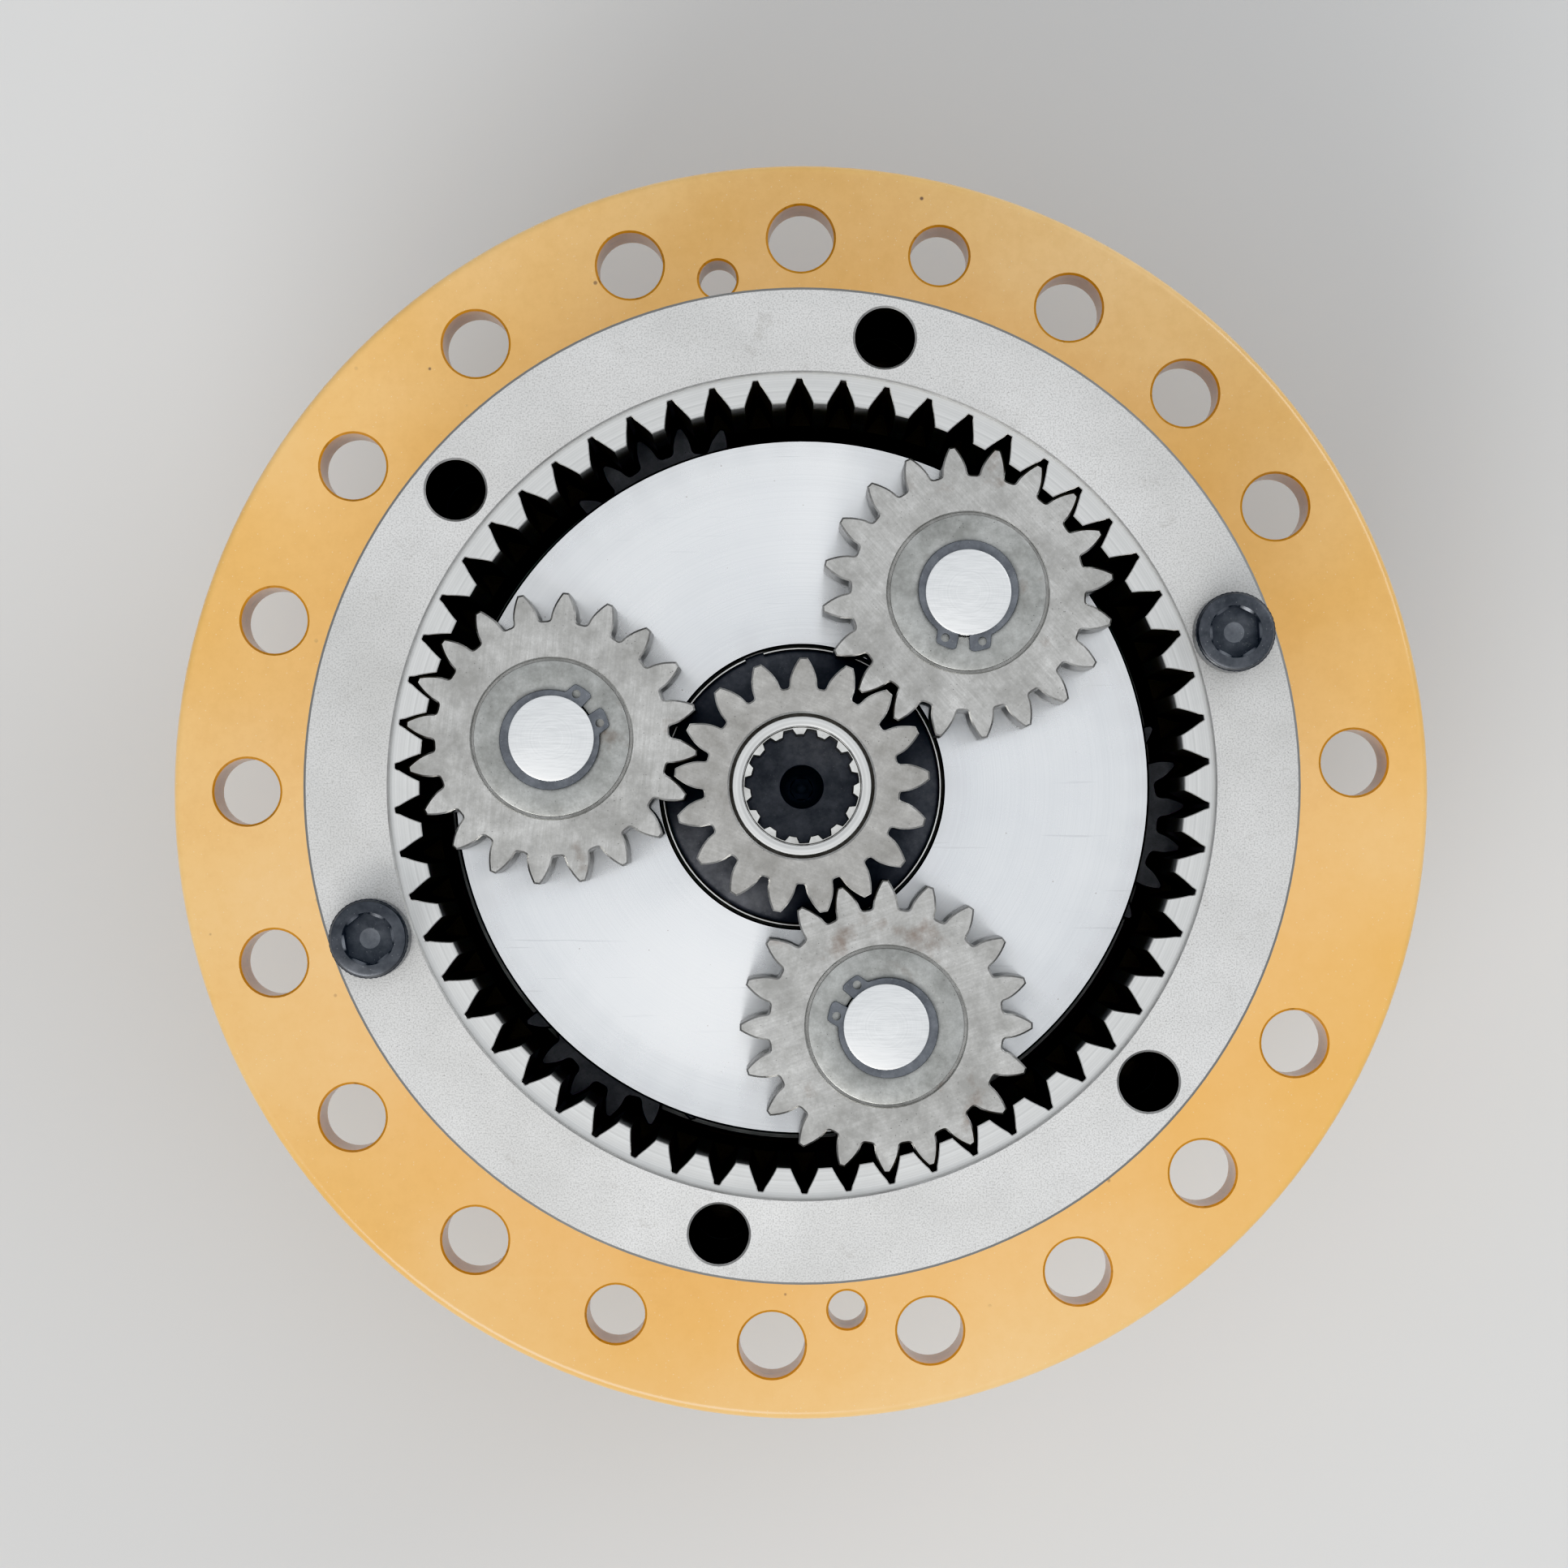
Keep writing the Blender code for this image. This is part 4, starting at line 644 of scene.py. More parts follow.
def make_housing():
    shell = Shell()
    low_outside = [(134.5, 132.0), (136.0, 133.5), (136.0, 150.5), (137.2, 153.4), (176.0, 199.0)]
    register = [(189.0, 199.0), (190.0, 200.0), (190.0, FLANGE_LOW)]
    flange = [(258.5, FLANGE_LOW), (260.0, 216.5), *arc(256.5, 251.5, 3.5, 0, 90, 7)]
    neck = [*arc(194.0, 279.0, 24.0, 270, 180, 14)[:-1], (170.0, 280.0), (170.0, 329.5), (170.6, 331.5)]
    neck += [(180.4, 341.3), (181.0, 343.0), (181.0, 388.9), (180.2, HOUSING_TOP)]
    for part in (low_outside, register, flange, neck):
        shell.stack(part)
    bores = [
        [(109.3, 132.0), (107.8, 133.5), (107.8, 202.3)],
        [(84.0, 202.3), (84.0, 274.7)],
        [(90.3, 274.7), (90.3, 325.0), (91.3, 326.0)],
        [(141.5, 326.0), (141.5, 377.9), (142.3, 378.7)],
        [(155.8, 378.7), (155.8, 388.9), (156.6, HOUSING_TOP)],
    ]
    # Painted shade: the bores and their floors take slot 2, the near-black chamber steel; the dowel holes take it
    # too.
    for part in bores:
        shell.stack(part, 2)
    flange_holes = []
    for radius, places in (
        (13.7, at(FLANGE_HOLE_CIRCLE_R, FLANGE_HOLE_ANGLES)),
        (12.1, at(FLANGE_HOLE_CIRCLE_R, JACKING_HOLE_ANGLES)),
        (7.8, at(FLANGE_DOWEL_CIRCLE_R, FLANGE_DOWEL_ANGLES)),
    ):
        flange_holes += bolt_holes(shell, radius, places, FLANGE_LOW, FLANGE_TOP, 0.9, 1, 1)
    seat_holes = [
        *blind_holes(shell, 10.2, at(RING_HOLE_CIRCLE_R, RING_HOLE_ANGLES), 352.0, HOUSING_TOP, 0.75, 4),
        *blind_holes(shell, DOWEL_HOLE_R, at(RING_HOLE_CIRCLE_R, RING_DOWEL_ANGLES), 377.7, HOUSING_TOP, 0.4, 2),
    ]
    for height, outer_r, holes, slot in (
        (132.0, 134.5, [109.3], 0),
        (199.0, 189.0, [176.0], 0),
        (FLANGE_LOW, 258.5, [190.0, *flange_holes], 0),
        (FLANGE_TOP, 256.5, [194.0, *flange_holes], 0),
        (HOUSING_TOP, 180.2, [156.6, *seat_holes], 3),
        (378.7, 155.8, [142.3], 2),
        (326.0, 141.5, [91.3], 2),
        (274.7, 90.3, [84.0], 2),
        (202.3, 107.8, [84.0], 2),
    ):
        shell.cap(height, outer_r, holes, slot)
    finishes = ("yellow_enamel", "enamel_rim", "shaded_chamber", "machined_steel", "thread_steel")
    housing = shell.build("flange_housing_detail", finishes)
    cut_drain_hole(housing, 10.3, (138.5, 184.0))
    stand_for(housing, "flange_housing")


def make_ring_gear():
    shell = Shell()
    corner = (148.2, 0.3)
    teeth = gear_outline(RING_TEETH, MODULE, RING_SHIFT, 140.6, 149.8, -RING_SPACE_WIDENING, corner)
    teeth = turned_outline(teeth, RING_PHASE)
    edge = offset(teeth, 0.35)
    shell.stack([(182.2, RING_LOW), (183.0, 390.8), (183.0, 514.1), (182.1, RING_TOP)], 4)
    shell.stack([(154.5, 379.0), (155.5, 380.0), (155.5, RING_LOW)], 4)
    # Painted shade: the tooth flanks, bolt hole walls and dowel holes take slot 2, the near-black steel.
    shell.stack([(edge, 379.0, 2), (teeth, 379.35, 2), (teeth, 510.65, 1), (edge, 511.0)])
    shell.stack([(150.9, 510.4), (150.9, 511.0)], 3)
    shell.stack([(151.8, 510.4, 3), (151.8, 514.4, 1), (152.4, RING_TOP)])
    mouths = bolt_holes(shell, 11.0, at(RING_HOLE_CIRCLE_R, RING_HOLE_ANGLES), RING_LOW, RING_TOP, 0.8, 1, 2)
    dowel_places = at(RING_HOLE_CIRCLE_R, RING_DOWEL_ANGLES)
    dowel_holes = [circle(DOWEL_HOLE_R, SMALL_ROUND, centre) for centre in dowel_places]
    for outline in dowel_holes:
        shell.wall(outline, RING_LOW, outline, 402.3, 2)
        shell.peak(outline, 402.3, 404.3, 2)
    shell.cap(379.0, 154.5, [edge], 4)
    shell.cap(RING_LOW, 182.2, [155.5, *mouths, *dowel_holes], 4)
    shell.cap(510.4, 151.8, [150.9], 3)
    shell.cap(511.0, 150.9, [edge], 3)
    shell.cap(RING_TOP, 182.1, [152.4, *mouths], 0)
    finishes = ("blasted_steel", "bright_edge", "painted_shade_steel", "ring_step", "machined_steel")
    shell.replace("ring_gear", "blasted_steel", finishes)


def socket_screw(name, bottom, head_bottom, shank_r, head_r, height, across, depth, centre=(0.0, 0.0)):
    """A socket head cap screw with a knurled head, a threaded shank and a drilled hex socket."""
    shell = Shell()
    count = KNURL_COUNT * 2
    top = head_bottom + height
    chamfer = head_r * 0.09
    angles = [360 * (step + 0.5) / count for step in range(count)]

    def smooth(radius):
        return [polar(radius, angle) for angle in angles]

    knurl = [polar(head_r - (KNURL_DEPTH if step % 2 else 0.0), angle) for step, angle in enumerate(angles)]
    tip, shank, foot, mouth = (smooth(r) for r in (shank_r - 1.2, shank_r, head_r - 0.6, across * 0.565))
    socket, drill = hexagon(across, count // 6), smooth(across * 0.22)
    crown_edge = smooth(head_r - chamfer * 1.5)
    shell.stack([(tip, bottom), (shank, bottom + 1.2), (shank, head_bottom)])
    shell.stack([(foot, head_bottom), (knurl, head_bottom + 0.6), (knurl, top - chamfer * 2.2)])
    crown = [(knurl, top - chamfer * 2.2), (smooth(head_r - 0.45), top - chamfer * 1.9)]
    crown += [(smooth(head_r - 0.5), top - chamfer), (smooth(head_r - chamfer * 0.8), top - chamfer * 0.25)]
    shell.stack([*crown, (crown_edge, top)])
    # Painted highlight: the socket's mouth takes the lighter slot 1 finish.
    shell.stack([(mouth, top, 1), (mouth, top - 0.5, 1), (socket, top - 1.2, 0), (socket, top - depth)])
    shell.cap(bottom, tip)
    shell.cap(top, crown_edge, [mouth])
    shell.cap(head_bottom, foot, [shank])
    shell.cap(top - depth, socket, [drill])
    # Painted highlight: the drill point at the socket's bottom takes the lighter slot 1 finish.
    shell.peak(drill, top - depth, top - depth - across * 0.06, 1)
    return shell.build(name, ("black_oxide", "blued_spring_and_highlight"), centre)


def make_ring_fixings():
    for number, angle in enumerate(SCREW_ANGLES, 1):
        name, place = f"ring_screw_{number}", polar(RING_HOLE_CIRCLE_R, angle)
        screw = socket_screw(name + "_detail", 352.5, 515.3, 9.8, 14.6, 20.0, 17.0, 10.0, place)
        screw.rotation_euler.z = math.radians(angle * 1.7)
        stand_for(screw, name)
    profile = eased([(0, 378), (5, 378, 0.8), (5, 402, 0.8), (0, 402)], 0)
    for number, place in enumerate(at(RING_HOLE_CIRCLE_R, RING_DOWEL_ANGLES), 1):
        spin(f"ring_dowel_{number}", "bearing_steel", "ground_steel", profile, SMALL_ROUND, place)


def make_drain_plug():
    shell = Shell(60)
    inner, outer = 165.0, 180.0
    socket = hexagon(10.0, 10)
    shell.sleeve(10.0, 9.2, inner, outer, 0.8)
    shell.stack([(5.9, outer), (socket, 179.3), (socket, 173.0)])
    shell.cap(inner, 9.2)
    shell.cap(outer, 9.2, [5.9])
    shell.peak(socket, 173.0, 171.4)
    plug = shell.build("drain_plug_detail", ("black_oxide",))
    plug.matrix_world = drain_placement()
    stand_for(plug, "drain_plug")


# ----- bearings, seal and shaft


def make_bearing(prefix, span, radii, rollers):
    """Inner and outer rings with grooved races, and a brass cage of crowned rollers."""
    bore_r, inner_r, outer_r, outside_r = radii
    low, high = span
    middle = (low + high) / 2

    def mirrored(half):
        return half + [(radius, low + high - height, ease) for radius, height, ease in reversed(half)]

    lip = [(inner_r, low, 0.6), (inner_r, low + 4, 0.3), (inner_r - 1, low + 4.6, 0.2)]
    inner = mirrored([(bore_r, low, 1.2), *lip])
    groove = [(outside_r, middle - 3, 0.4), (outside_r - 1.5, middle - 2, 0.3)]
    outer = mirrored([(outer_r, low, 0.8), (outside_r, low, 1.5), *groove])
    for kind, profile in (("inner", inner), ("outer", outer)):
        node = f"{prefix}_bearing_{kind}_ring"
        spin(node, "bearing_steel", "ground_steel", eased(profile, 0.5), LARGE_ROUND)
    roller_set(f"{prefix}_bearing_roller_cage", (inner_r, outer_r), (low + 5, high - 5), rollers)


def roller_set(node, races, span, count, centre=(0.0, 0.0)):
    """A window cage, with a crowned roller in each window."""
    inner_r, outer_r = races
    low, high = span
    pitch_r = (inner_r + outer_r) / 2
    roller_r = (outer_r - inner_r) / 2 - 0.6
    rim = min(4.0, (high - low) * 0.12)
    half = min(2.2, roller_r * 0.3)
    bar_half = max(180 / count - math.degrees(roller_r / pitch_r) - math.degrees(0.5 / pitch_r), 1.0)
    shell = Shell()

    def prism(bottom, top, outlines):
        for outline in outlines:
            shell.wall(outline, bottom, outline, top)
        for height in (bottom, top):
            shell.cap(height, outlines[0], outlines[1:])

    for bottom, top in ((low, low + rim), (high - rim, high)):
        prism(bottom, top, [circle(pitch_r + half, count * 8), circle(pitch_r - half, count * 8)])
    end_r, low_end, high_end = roller_r * 0.93, low + rim + 0.3, high - rim - 0.3
    barrel = [(end_r, low_end), (roller_r, low + rim + 2), (roller_r, high - rim - 2), (end_r, high_end)]
    for step in range(count):
        angle = 360 * step / count
        levels = [(circle(radius, 24, polar(pitch_r, angle)), height) for radius, height in barrel]
        shell.stack(levels, 1)
        for outline, height in (levels[0], levels[-1]):
            shell.cap(height, outline, (), 1)
        between = angle + 180 / count
        bar = [polar(pitch_r - half * 0.9, between + side * bar_half) for side in (-1, 1)]
        bar += [polar(pitch_r + half * 0.9, between + side * bar_half) for side in (1, -1)]
        prism(low + rim + 0.02, high - rim - 0.02, [bar])
    shell.replace(node, "bearing_steel", ("cage_brass", "ground_steel"), centre)


def make_seal_cover():
    profile = [(84.0, 120.0, 1.5), (133.0, 120.0, 2.0), (133.0, 131.7, 0.8), (107.4, 131.7, 0.3)]
    profile += [(107.4, 139.7, 1.0), (84.0, 139.7, 0.8)]
    spin("seal_cover", "yellow_paint", "yellow_enamel", eased(profile, 0.5, 3), LARGE_ROUND)
    for step in range(COVER_SCREW_COUNT):
        place = polar(COVER_SCREW_CIRCLE_R, 22.5 + 360 * step / COVER_SCREW_COUNT)
        name = f"seal_cover_screw_{step + 1}"
        screw = socket_screw(name, 0.0, 0.3, 3.0, 8.0, 9.4, 8.0, 4.5)
        flip = Matrix.Translation((place[0] * MM, place[1] * MM, 120.0 * MM)) @ Matrix.Rotation(math.pi, 4, "X")
        screw.data.transform(flip)
        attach(screw, "housing")


def make_oil_seal():
    profile = [(83.7, 123.0), (83.7, 129.0), (82.2, 129.0), (82.2, 125.2), (76.5, 125.2), (75.2, 126.4)]
    profile += [(75.2, 128.6), (73.4, 129.0), (71.9, 128.2), (70.8, 126.6), (72.6, 124.4), (74.0, 123.6)]
    spin("oil_seal", "nitrile_rubber", "seal_rubber", eased(profile, 0.35), LARGE_ROUND)


def make_output_shaft():
    shell = Shell(LARGE_ROUND)
    pinion = gear_outline(PINION_TEETH, PINION_MODULE, 0.5, 67.5, 93.0, steps=8)
    edge = offset(pinion, -1.5)
    spline = spline_outline(*SHAFT_SPLINE)
    spline_edge = offset(spline, -0.8)
    centre_mouth, centre_hole, tapped, tapped_mouth = (circle(r, 48) for r in (16.0, 8.0, 7.6, 8.6))
    shell.sleeve(pinion, edge, 0.0, 105.0, 1.5, 1)
    shell.stack([(66.0, 105.0), (66.0, 108.0)], 2)
    shell.stack([(69.2, 108.0), (70.0, 108.8), (70.0, 138.9), (69.2, 139.7)], 2)
    shell.stack([(59.85, 139.7), (59.85, 202.0), (55.0, 205.0), (55.0, 274.7)], 2)
    shell.stack([(49.85, 274.7), (49.85, 323.0), (48.0, 323.6), (48.0, 336.5), (47.0, 337.7)], 2)
    shell.stack([(spline_edge, 337.7, 0), (spline, 338.5, 0), (spline, 371.4, 1), (spline_edge, 372.2)])
    shell.stack([(centre_mouth, 0.0, 1), (centre_hole, 7.0, 0), (centre_hole, 14.0)])
    shell.peak(centre_hole, 14.0, 18.0)
    shell.stack([(tapped, 348.0, 0), (tapped, 371.2, 1), (tapped_mouth, 372.2)])
    shell.peak(tapped, 348.0, 345.0)
    for height, outer, hole in (
        (0.0, edge, centre_mouth),
        (105.0, edge, 66.0),
        (108.0, 69.2, 66.0),
        (139.7, 69.2, 59.85),
        (274.7, 55.0, 49.85),
        (337.7, 47.0, spline_edge),
        (372.2, spline_edge, tapped_mouth),
    ):
        shell.cap(height, outer, [hole], 2)
    shell.replace("output_pinion_shaft", "forged_steel", ("forged_steel", "bright_edge", "machined_steel"))


def make_shaft_fixings():
    shell = Shell(MEDIUM_ROUND)
    low, high, slot_r, nut_r = 324.0, 336.0, 58.0, 63.0
    half = math.degrees(5.0 / nut_r)
    outline = []
    for quarter in (0, 90, 180, 270):
        outline += [polar(slot_r, quarter + angle) for angle in (-half, 0, half)]
        outline += [polar(nut_r, quarter + half + (90 - 2 * half) * step / 16) for step in range(17)]
    edge = offset(outline, -0.8)
    shell.sleeve(outline, edge, low, high, 0.8)
    shell.sleeve(48.3, 49.3, low, high, 1.0)
    for height in (low, high):
        shell.cap(height, edge, [49.3])
    shell.replace("shaft_lock_nut", "black_oxide", ("black_oxide",))
    spin("shaft_end_plate", "forged_steel", "machined_steel", eased(ring_profile(8.1, 54.0, 372.6, 377.0), 0.6))
    bolt = socket_screw("end_plate_bolt_detail", 351.0, 377.3, 7.2, 11.0, 8.0, 8.0, 4.5)
    stand_for(bolt, "end_plate_bolt")


# ----- carriers, suns and planets


def make_second_carrier():
    shell = Shell()
    spots = at(CENTRE_DISTANCE_2, planet_angles(CARRIER_2_ANGLE))
    spline = spline_outline(*SHAFT_SPLINE, GAP)
    low, disc_low, floor, disc_top, pad_top = 338.0, 345.0, 372.3, 377.4, 379.6
    shell.stack([(71.2, low), (72.0, 338.8), (72.0, disc_low)])
    shell.stack([(136.8, disc_low), (138.0, 346.2), (138.0, 376.2), (136.8, disc_top)])
    shell.stack([(spline, low), (spline, floor)])
    shell.stack([(54.4, floor), (54.4, 376.6), (55.2, disc_top)])
    mouths = bolt_holes(shell, 20.3, spots, disc_low, pad_top, 0.7, 0, 0, MEDIUM_ROUND)
    pads = [circle(34.0, MEDIUM_ROUND, spot) for spot in spots]
    for spot, pad, mouth in zip(spots, pads, mouths):
        pad_edge = circle(33.4, MEDIUM_ROUND, spot)
        shell.stack([(pad, disc_top), (pad, 379.0), (pad_edge, pad_top)])
        shell.cap(pad_top, pad_edge, [mouth])
    shell.cap(low, 71.2, [spline])
    shell.cap(disc_low, 136.8, [72.0, *mouths])
    shell.cap(floor, 54.4, [spline])
    shell.cap(disc_top, 136.8, [55.2, *pads])
    shell.replace("second_carrier", "forged_steel", ("machined_steel",))


def make_first_carrier():
    shell = Shell()
    spline = spline_outline(*HUB_SPLINE, GAP)
    low, disc_low, floor = 425.0, 437.0, 459.4
    shell.stack([(61.2, low), (62.0, 425.8), (62.0, disc_low)], 1)
    shell.stack([(129.7, disc_low), (130.5, 437.8), (130.5, 465.7), (129.8, DISC_TOP)], 1)
    shell.stack([(spline, low), (spline, floor)], 1)
    shell.stack([(53.2, floor, 1), (53.2, 465.8, 2), (53.8, DISC_TOP)])
    mouths = []
    for spot in at(CENTRE_DISTANCE_1, planet_angles(CARRIER_1_ANGLE)):
        hole, mouth = circle(16.1, MEDIUM_ROUND, spot), circle(16.6, MEDIUM_ROUND, spot)
        shell.stack([(mouth, disc_low, 1), (hole, 437.5, 1), (hole, 465.9, 2), (mouth, DISC_TOP)])
        mouths.append(mouth)
    shell.cap(low, 61.2, [spline], 1)
    shell.cap(disc_low, 129.7, [62.0, *mouths], 1)
    shell.cap(floor, 53.2, [spline], 1)
    shell.cap(DISC_TOP, 129.8, [53.8, *mouths], 0)
    shell.replace("first_carrier", "carrier_steel", ("mirror_disc", "machined_steel", "bright_edge"))


def make_first_sun():
    shell = Shell(MEDIUM_ROUND)
    shift, _ = stage_shifts(CENTRE_DISTANCE_1, SUN_1_TEETH, PLANET_1_TEETH)
    teeth = gear_outline(SUN_1_TEETH, MODULE, shift, 36.2, 47.2, SUN_1_THINNING)
    edge = offset(teeth, -0.6)
    spline = spline_outline(*MOTOR_SPLINE)
    spline_top = offset(spline, 0.25)
    mouth = [polar(21.6, math.degrees(math.atan2(y, x))) for x, y in spline]
    low, seat, top = 463.0, 505.5, 510.0
    # Painted shade: the tooth flanks take slot 2, the near-black steel.
    shell.sleeve(teeth, edge, low, top, 0.6, 1, 2)
    shell.stack([(mouth, low, 1), (spline, 463.6, 3), (spline, 505.1, 1), (spline_top, seat)])
    shell.stack([(26.8, seat, 3), (26.8, 509.3, 1), (27.5, top)])
    shell.cap(low, edge, [mouth])
    # Painted shadow: the seat floor round the stop ring takes the near-black steel of slot 2, so the gap round the
    # ring reads dark.
    shell.cap(seat, 26.8, [21.5], 2)
    shell.cap(seat, 21.5, [spline_top], 1)
    shell.cap(top, edge, [27.5])
    finishes = ("sun_steel", "bright_edge", "painted_shade_steel", "machined_steel")
    turn = sun_turn(CARRIER_1_ANGLE, SUN_1_TEETH, PLANET_1_TEETH)
    shell.replace("first_sun_gear", "gear_steel", finishes, turn=turn)
    profile = [(21.8, 505.8, 0.3), (25.7, 505.8, 0.4), (25.7, 508.3, 0.6), (21.8, 508.3, 1.1)]
    spin("sun_stop_ring", "carrier_steel", "ring_step", eased(profile, 0.4, 3))


def make_second_sun():
    shell = Shell(SMALL_ROUND)
    shift, _ = stage_shifts(CENTRE_DISTANCE_2, SUN_2_TEETH, PLANET_2_TEETH)
    turn = sun_turn(CARRIER_2_ANGLE, SUN_2_TEETH, PLANET_2_TEETH)
    teeth = turned_outline(gear_outline(SUN_2_TEETH, MODULE, shift, 44.0, 55.0), turn)
    edge = offset(teeth, -0.7)
    hub = spline_outline(*HUB_SPLINE)
    hub_edge = offset(hub, -0.6)
    low, shoulder, top = 381.0, 419.0, 459.0
    shell.sleeve(teeth, edge, low, shoulder, 0.7, 1)
    shell.stack([(hub, shoulder), (hub, 458.4), (hub_edge, top)])
    shell.sleeve(16.0, 17.0, low, top, 1.0, 1)
    shell.cap(low, edge, [17.0])
    shell.cap(shoulder, edge, [hub])
    shell.cap(top, hub_edge, [17.0])
    # Painted shade: the second sun takes the darker deep steel.
    shell.replace("second_sun_gear", "gear_steel", ("deep_shaded_steel", "machined_steel"))


def make_thrust_parts():
    profile = [(8.1, 459.8, 0.3), (52.6, 459.8, 0.4), (52.6, 462.4, 0.7), (8.1, 462.4, 0.5)]
    spin("carrier_thrust_plate", "black_oxide", "thrust_plate_finish", eased(profile, 0.4), LARGE_ROUND)
    shell = Shell()
    rings = []
    count, half = 96, 4.0
    for step in range(count + 1):
        angle = 110.0 + half + (360 - 2 * half) * step / count
        turns = [math.tau * side / 10 for side in range(10)]
        ring = [(*polar(52.1 + 0.8 * math.cos(turn), angle), 463.7 + 0.9 * math.sin(turn)) for turn in turns]
        rings.append([shell.mesh.verts.new(point) for point in ring])
    for near, far in zip(rings, rings[1:]):
        for side in range(10):
            after = (side + 1) % 10
            shell.mesh.faces.new((near[side], near[after], far[after], far[side]))
    shell.mesh.faces.new(rings[0])
    shell.mesh.faces.new(rings[-1])
    # The whole snap ring takes the light edge steel, partly a painted highlight.
    shell.replace("carrier_snap_ring", "carrier_steel", ("bright_edge",))


def make_planet(node, teeth, bore_r, span, finishes, centre, turn, seat=None):
    """A planet gear with chamfered teeth; a washer seat (radius, depth) may be sunk into its top face."""
    shell = Shell(MEDIUM_ROUND)
    low, high = span
    edge = offset(teeth, -0.65)
    mouth_r = top_r = bore_r + 0.6
    # Painted shade: the tooth flanks take slot 2, the near-black steel.
    shell.sleeve(teeth, edge, low, high, 0.65, 1, 2)
    if seat:
        seat_r, floor = seat[0], high - seat[1]
        top_r = seat_r + 0.4
        shell.stack([(mouth_r, low, 1), (bore_r, low + 0.6, 0), (bore_r, floor)])
        shell.stack([(seat_r, floor, 0), (seat_r, high - 0.4, 1), (top_r, high)])
        shell.cap(floor, seat_r, [bore_r])
    else:
        shell.sleeve(bore_r, mouth_r, low, high, 0.6, 1)
    shell.cap(low, edge, [mouth_r])
    shell.cap(high, edge, [top_r])
    shell.replace(node, "gear_steel", finishes, centre, turn)


def make_pin(node, radius, span, clip_span, centre):
    low, high = span
    neck_r = radius - 1.6
    groove_low, groove_high = clip_span[0] - GAP, clip_span[1] + GAP
    profile = [(0, low), (radius, low, 1.5), (radius, groove_low, 0.1), (neck_r, groove_low, 0.2)]
    profile += [(neck_r, groove_high, 0.2), (radius, groove_high, 0.1), (radius, high, 0.9), (0, high)]
    spin(node, "pin_steel", "brushed_pin", eased(profile, 0.4), MEDIUM_ROUND, centre)


def make_washer(node, inner_r, outer_r, span, centre):
    profile = eased(ring_profile(inner_r, outer_r, *span), 0.35)
    spin(node, "washer_steel", "washer_steel", profile, MEDIUM_ROUND, centre)


def circlip_outline(inner_r):
    """An external circlip that opens towards +X: a tapering band with a rounded lug at each end."""
    half_gap, lug_end, lug_r = 6.7, 35.0, inner_r + 6.9

    def outer_r(angle):
        band = inner_r + 2.6 + 1.7 * math.sin(math.radians(angle) / 2) ** 2
        if angle < half_gap + 5:
            rise = (angle - half_gap) / 5
            return inner_r + 5.9 + 1.0 * math.sin(rise * math.pi / 2)
        fall = min(max((angle - lug_end + 9) / 9, 0.0), 1.0)
        return band + (lug_r - band) * (1 - fall * fall * (3 - 2 * fall))

    marks = [half_gap, 8.5, 10, 12, 15, 19, 23, 26, 27.5, 29, 30.5, 32, 33.5, 35, 38]
    marks += [38 + (180 - 38) * step / 20 for step in range(1, 21)]
    outline = [polar(outer_r(mark), mark) for mark in marks]
    outline += [polar(outer_r(mark), -mark) for mark in reversed(marks[:-1])]
    outline += [polar(inner_r, -half_gap - (360 - 2 * half_gap) * step / 60) for step in range(61)]
    holes = [circle(1.6, 20, polar(inner_r + 3.7, side * 21.5)) for side in (1, -1)]
    return outline, holes


def make_circlip(node, pin_r, span, opening, centre):
    shell = Shell()
    outline, holes = circlip_outline(pin_r - 0.9)
    edge = offset(outline, -0.18)
    shell.sleeve(outline, edge, *span, 0.18)
    for hole in holes:
        shell.wall(hole, span[0], hole, span[1])
    for height in span:
        shell.cap(height, edge, holes)
    shell.replace(node, "spring_steel", ("blued_spring_and_highlight",), centre, opening)


def make_first_planets():
    _, shift = stage_shifts(CENTRE_DISTANCE_1, SUN_1_TEETH, PLANET_1_TEETH)
    teeth = gear_outline(PLANET_1_TEETH, MODULE, shift, 43.4, 53.9)
    finishes = ("planet_steel", "bright_edge", "painted_shade_steel")
    for number, angle in enumerate(planet_angles(CARRIER_1_ANGLE), 1):
        centre, turn = polar(CENTRE_DISTANCE_1, angle), planet_turn(angle, PLANET_1_TEETH)
        gear_span, clip_span, opening = (469.0, 509.0), (509.6, 511.6), CIRCLIP_1_OPENINGS[number - 1]
        make_planet(f"first_planet_gear_{number}", teeth, 21.5, gear_span, finishes, centre, turn, (29.8, 2.5))
        make_pin(f"first_planet_pin_{number}", PIN_1_R, (438.0, 514.0), clip_span, centre)
        make_washer(f"first_bottom_washer_{number}", 16.3, 28.7, (466.7, 468.7), centre)
        make_washer(f"first_top_washer_{number}", 16.3, 28.7, (506.8, 509.2), centre)
        roller_set(f"first_needle_bearing_{number}", (PIN_1_R, 21.5), (472.0, 504.0), 16, centre)
        make_circlip(f"first_circlip_{number}", PIN_1_R, clip_span, opening, centre)


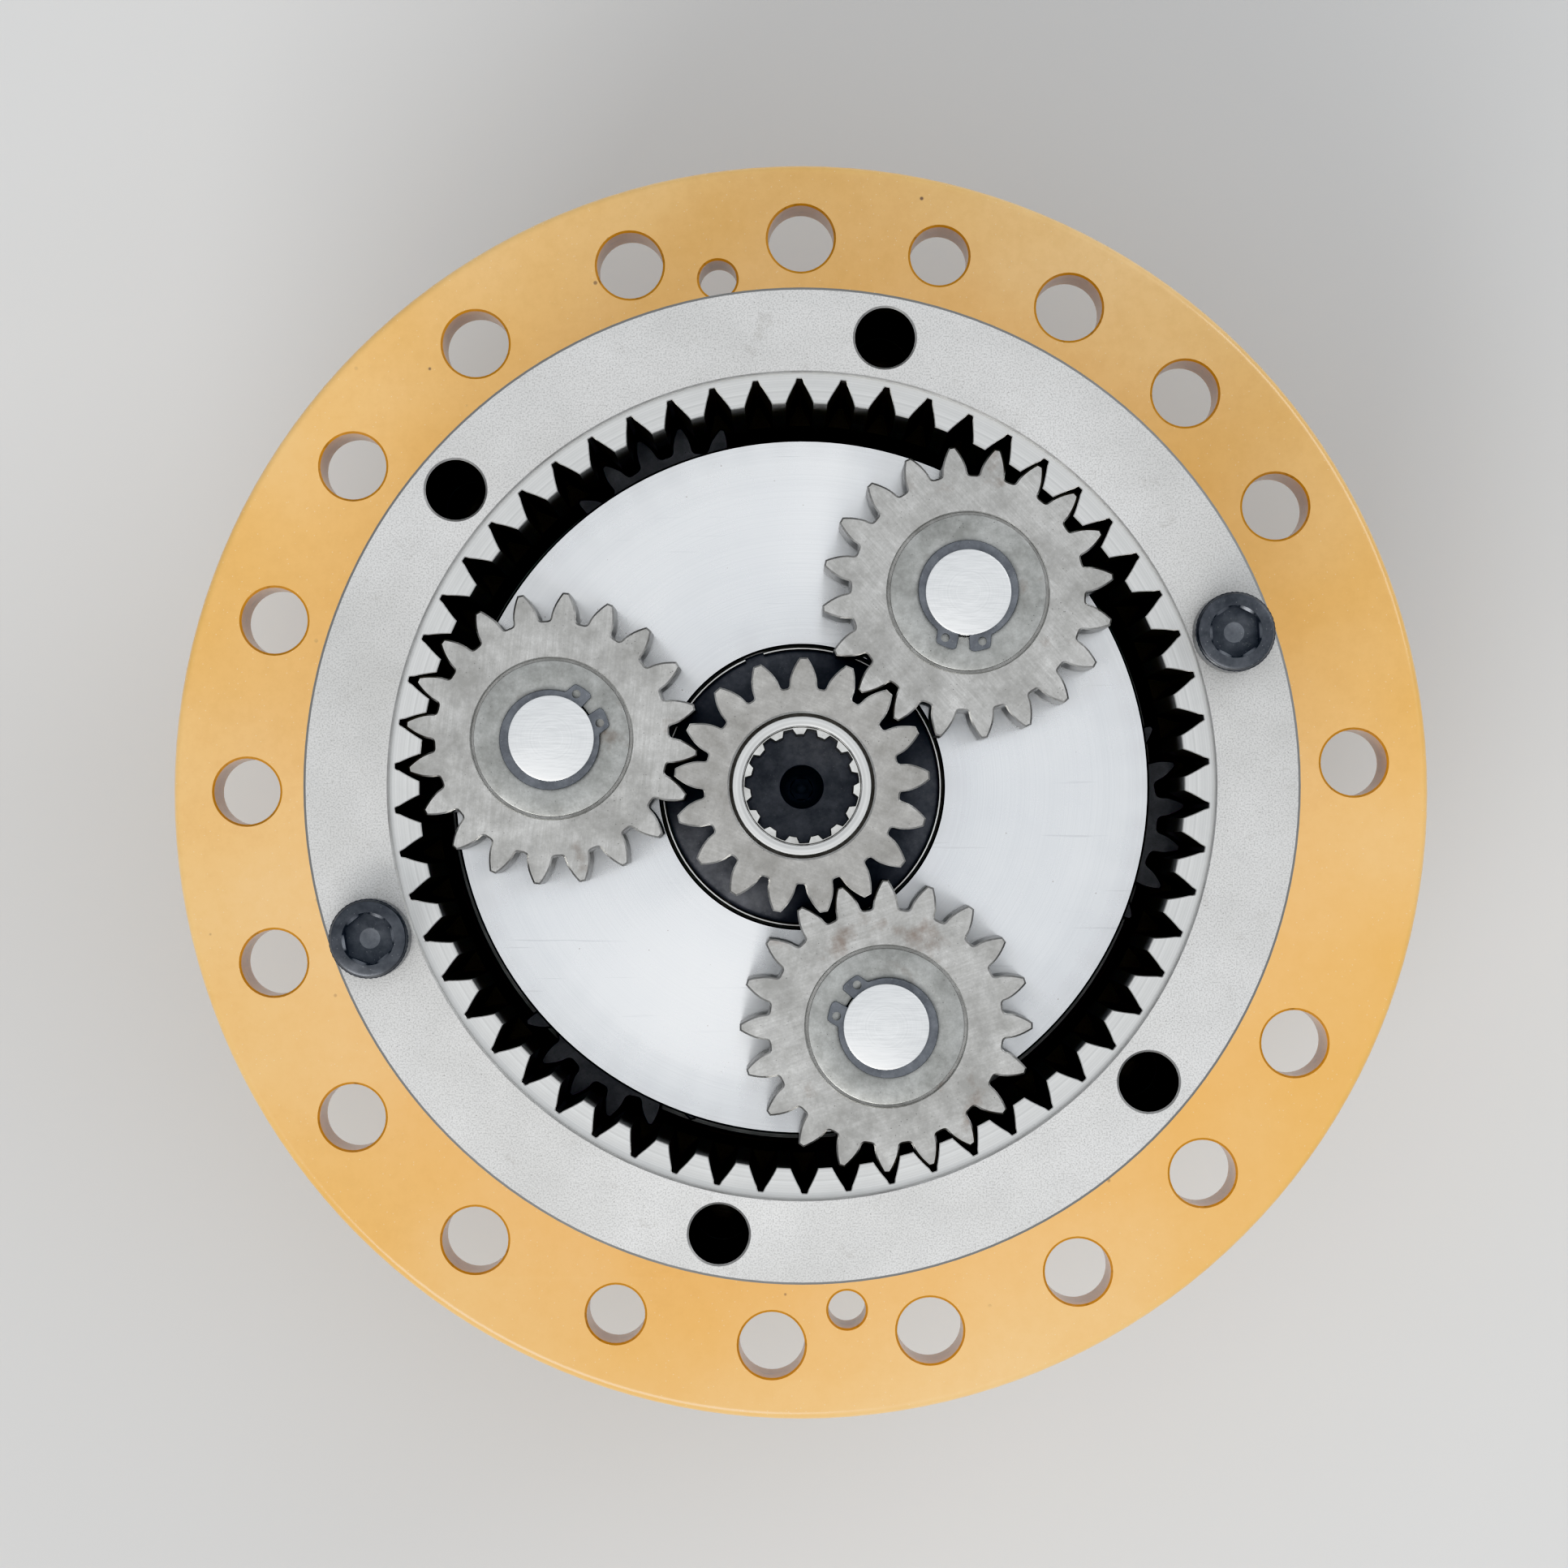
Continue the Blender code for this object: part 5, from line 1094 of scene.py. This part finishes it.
def make_second_planets():
    _, shift = stage_shifts(CENTRE_DISTANCE_2, SUN_2_TEETH, PLANET_2_TEETH)
    teeth = gear_outline(PLANET_2_TEETH, MODULE, shift, 40.6, 50.6)
    # Painted shade: the second stage takes darker steel than the first because it lies deep in shade, and
    # near-black steel on its flanks.
    finishes = ("deep_shaded_steel", "machined_steel", "painted_shade_steel")
    for number, angle in enumerate(planet_angles(CARRIER_2_ANGLE), 1):
        centre, turn = polar(CENTRE_DISTANCE_2, angle), planet_turn(angle, PLANET_2_TEETH)
        gear_span, clip_span, opening = (380.0, 415.0), (417.7, 420.2), CIRCLIP_2_OPENINGS[number - 1]
        make_planet(f"second_planet_gear_{number}", teeth, 26.5, gear_span, finishes, centre, turn)
        make_pin(f"second_planet_pin_{number}", PIN_2_R, (346.0, 424.0), clip_span, centre)
        make_washer(f"second_top_washer_{number}", 20.4, 33.0, (415.3, 417.3), centre)
        roller_set(f"second_roller_bearing_{number}", (PIN_2_R, 26.5), (384.0, 411.0), 18, centre)
        make_circlip(f"second_circlip_{number}", PIN_2_R, clip_span, opening, centre)


# ----- studio


def make_floor():
    shell = Shell()
    reach = 6000.0
    shell.cap(-0.5, [(-reach, -reach), (reach, -reach), (reach, reach), (-reach, reach)])
    shell.build("studio_floor", ("studio_floor",))


def area_light(name, place, target, size, power, colour=(1.0, 1.0, 1.0)):
    light = bpy.data.lights.new(name, "AREA")
    light.shape = "RECTANGLE"
    light.size, light.size_y = size
    light.energy = power
    light.color = colour
    lamp = bpy.data.objects.new(name, light)
    bpy.context.scene.collection.objects.link(lamp)
    lamp.location = place
    lamp.rotation_euler = (Vector(target) - Vector(place)).to_track_quat("-Z", "Y").to_euler()


def make_lights():
    """An overcast-like dome, brightest overhead, and two big soft boxes."""
    world = bpy.data.worlds.new("studio")
    bpy.context.scene.world = world
    world.use_nodes = True
    tree = world.node_tree
    direction = tree.nodes.new("ShaderNodeTexCoord")
    split = tree.nodes.new("ShaderNodeSeparateXYZ")
    shade = tree.nodes.new("ShaderNodeValToRGB")
    elements = shade.color_ramp.elements
    elements.new(0.5)
    stops = ((0.0, (0.42, 0.43, 0.45)), (0.45, (0.62, 0.64, 0.67)), (1.0, (0.95, 0.975, 1.0)))
    for element, (position, colour) in zip(elements, stops):
        element.position = position
        element.color = (*colour, 1.0)
    tree.links.new(direction.outputs["Generated"], split.inputs[0])
    tree.links.new(split.outputs["Z"], shade.inputs["Fac"])
    tree.links.new(shade.outputs["Color"], tree.nodes["Background"].inputs["Color"])
    tree.nodes["Background"].inputs["Strength"].default_value = 0.95
    area_light("key", (-1.1, -2.7, 3.3), (0.0, 0.0, 0.4), (2.4, 2.0), 90.0, (1.0, 0.985, 0.96))
    area_light("fill", (2.7, 1.7, 2.4), (0.0, 0.0, 0.3), (2.0, 1.6), 38.0, (0.96, 0.98, 1.0))


def make_camera():
    place, target = Vector((-0.0037, -0.0190, 2.515)), Vector((-0.0066, 0.0006, 0.515))
    back = (place - target).normalized()
    right = Vector((0.0, 1.0, 0.0)).cross(back).normalized()
    data = bpy.data.cameras.new("camera")
    data.sensor_width = 36.0
    data.lens = 125.2
    data.clip_end = 50.0
    camera = bpy.data.objects.new("camera", data)
    bpy.context.scene.collection.objects.link(camera)
    camera.matrix_world = Matrix.Translation(place) @ Matrix((right, back.cross(right), back)).transposed().to_4x4()
    bpy.context.scene.camera = camera
    bpy.context.scene.view_settings.view_transform = "Khronos PBR Neutral"


# ----- assembly


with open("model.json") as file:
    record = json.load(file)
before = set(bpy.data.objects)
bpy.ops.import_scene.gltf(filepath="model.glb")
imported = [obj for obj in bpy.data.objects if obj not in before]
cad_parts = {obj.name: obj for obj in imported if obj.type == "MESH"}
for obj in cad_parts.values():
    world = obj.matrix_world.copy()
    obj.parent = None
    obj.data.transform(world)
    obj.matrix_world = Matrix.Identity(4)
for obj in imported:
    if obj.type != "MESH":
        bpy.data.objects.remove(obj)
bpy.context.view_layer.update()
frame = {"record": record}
NODE_BODY = {node: body for body, nodes in frame["record"]["behaviour"]["bodies"].items() for node in nodes}
make_paints()
make_camera()
make_lights()
make_floor()
make_housing()
make_ring_gear()
make_ring_fixings()
make_drain_plug()
make_bearing("lower", (140.0, 202.0), (60.15, 74.0, 92.0, 107.4), 20)
make_bearing("upper", (275.0, 323.0), (50.15, 62.0, 78.0, 90.0), 20)
make_seal_cover()
make_oil_seal()
make_output_shaft()
make_shaft_fixings()
make_second_carrier()
make_second_planets()
make_first_carrier()
make_second_sun()
make_thrust_parts()
make_first_planets()
make_first_sun()
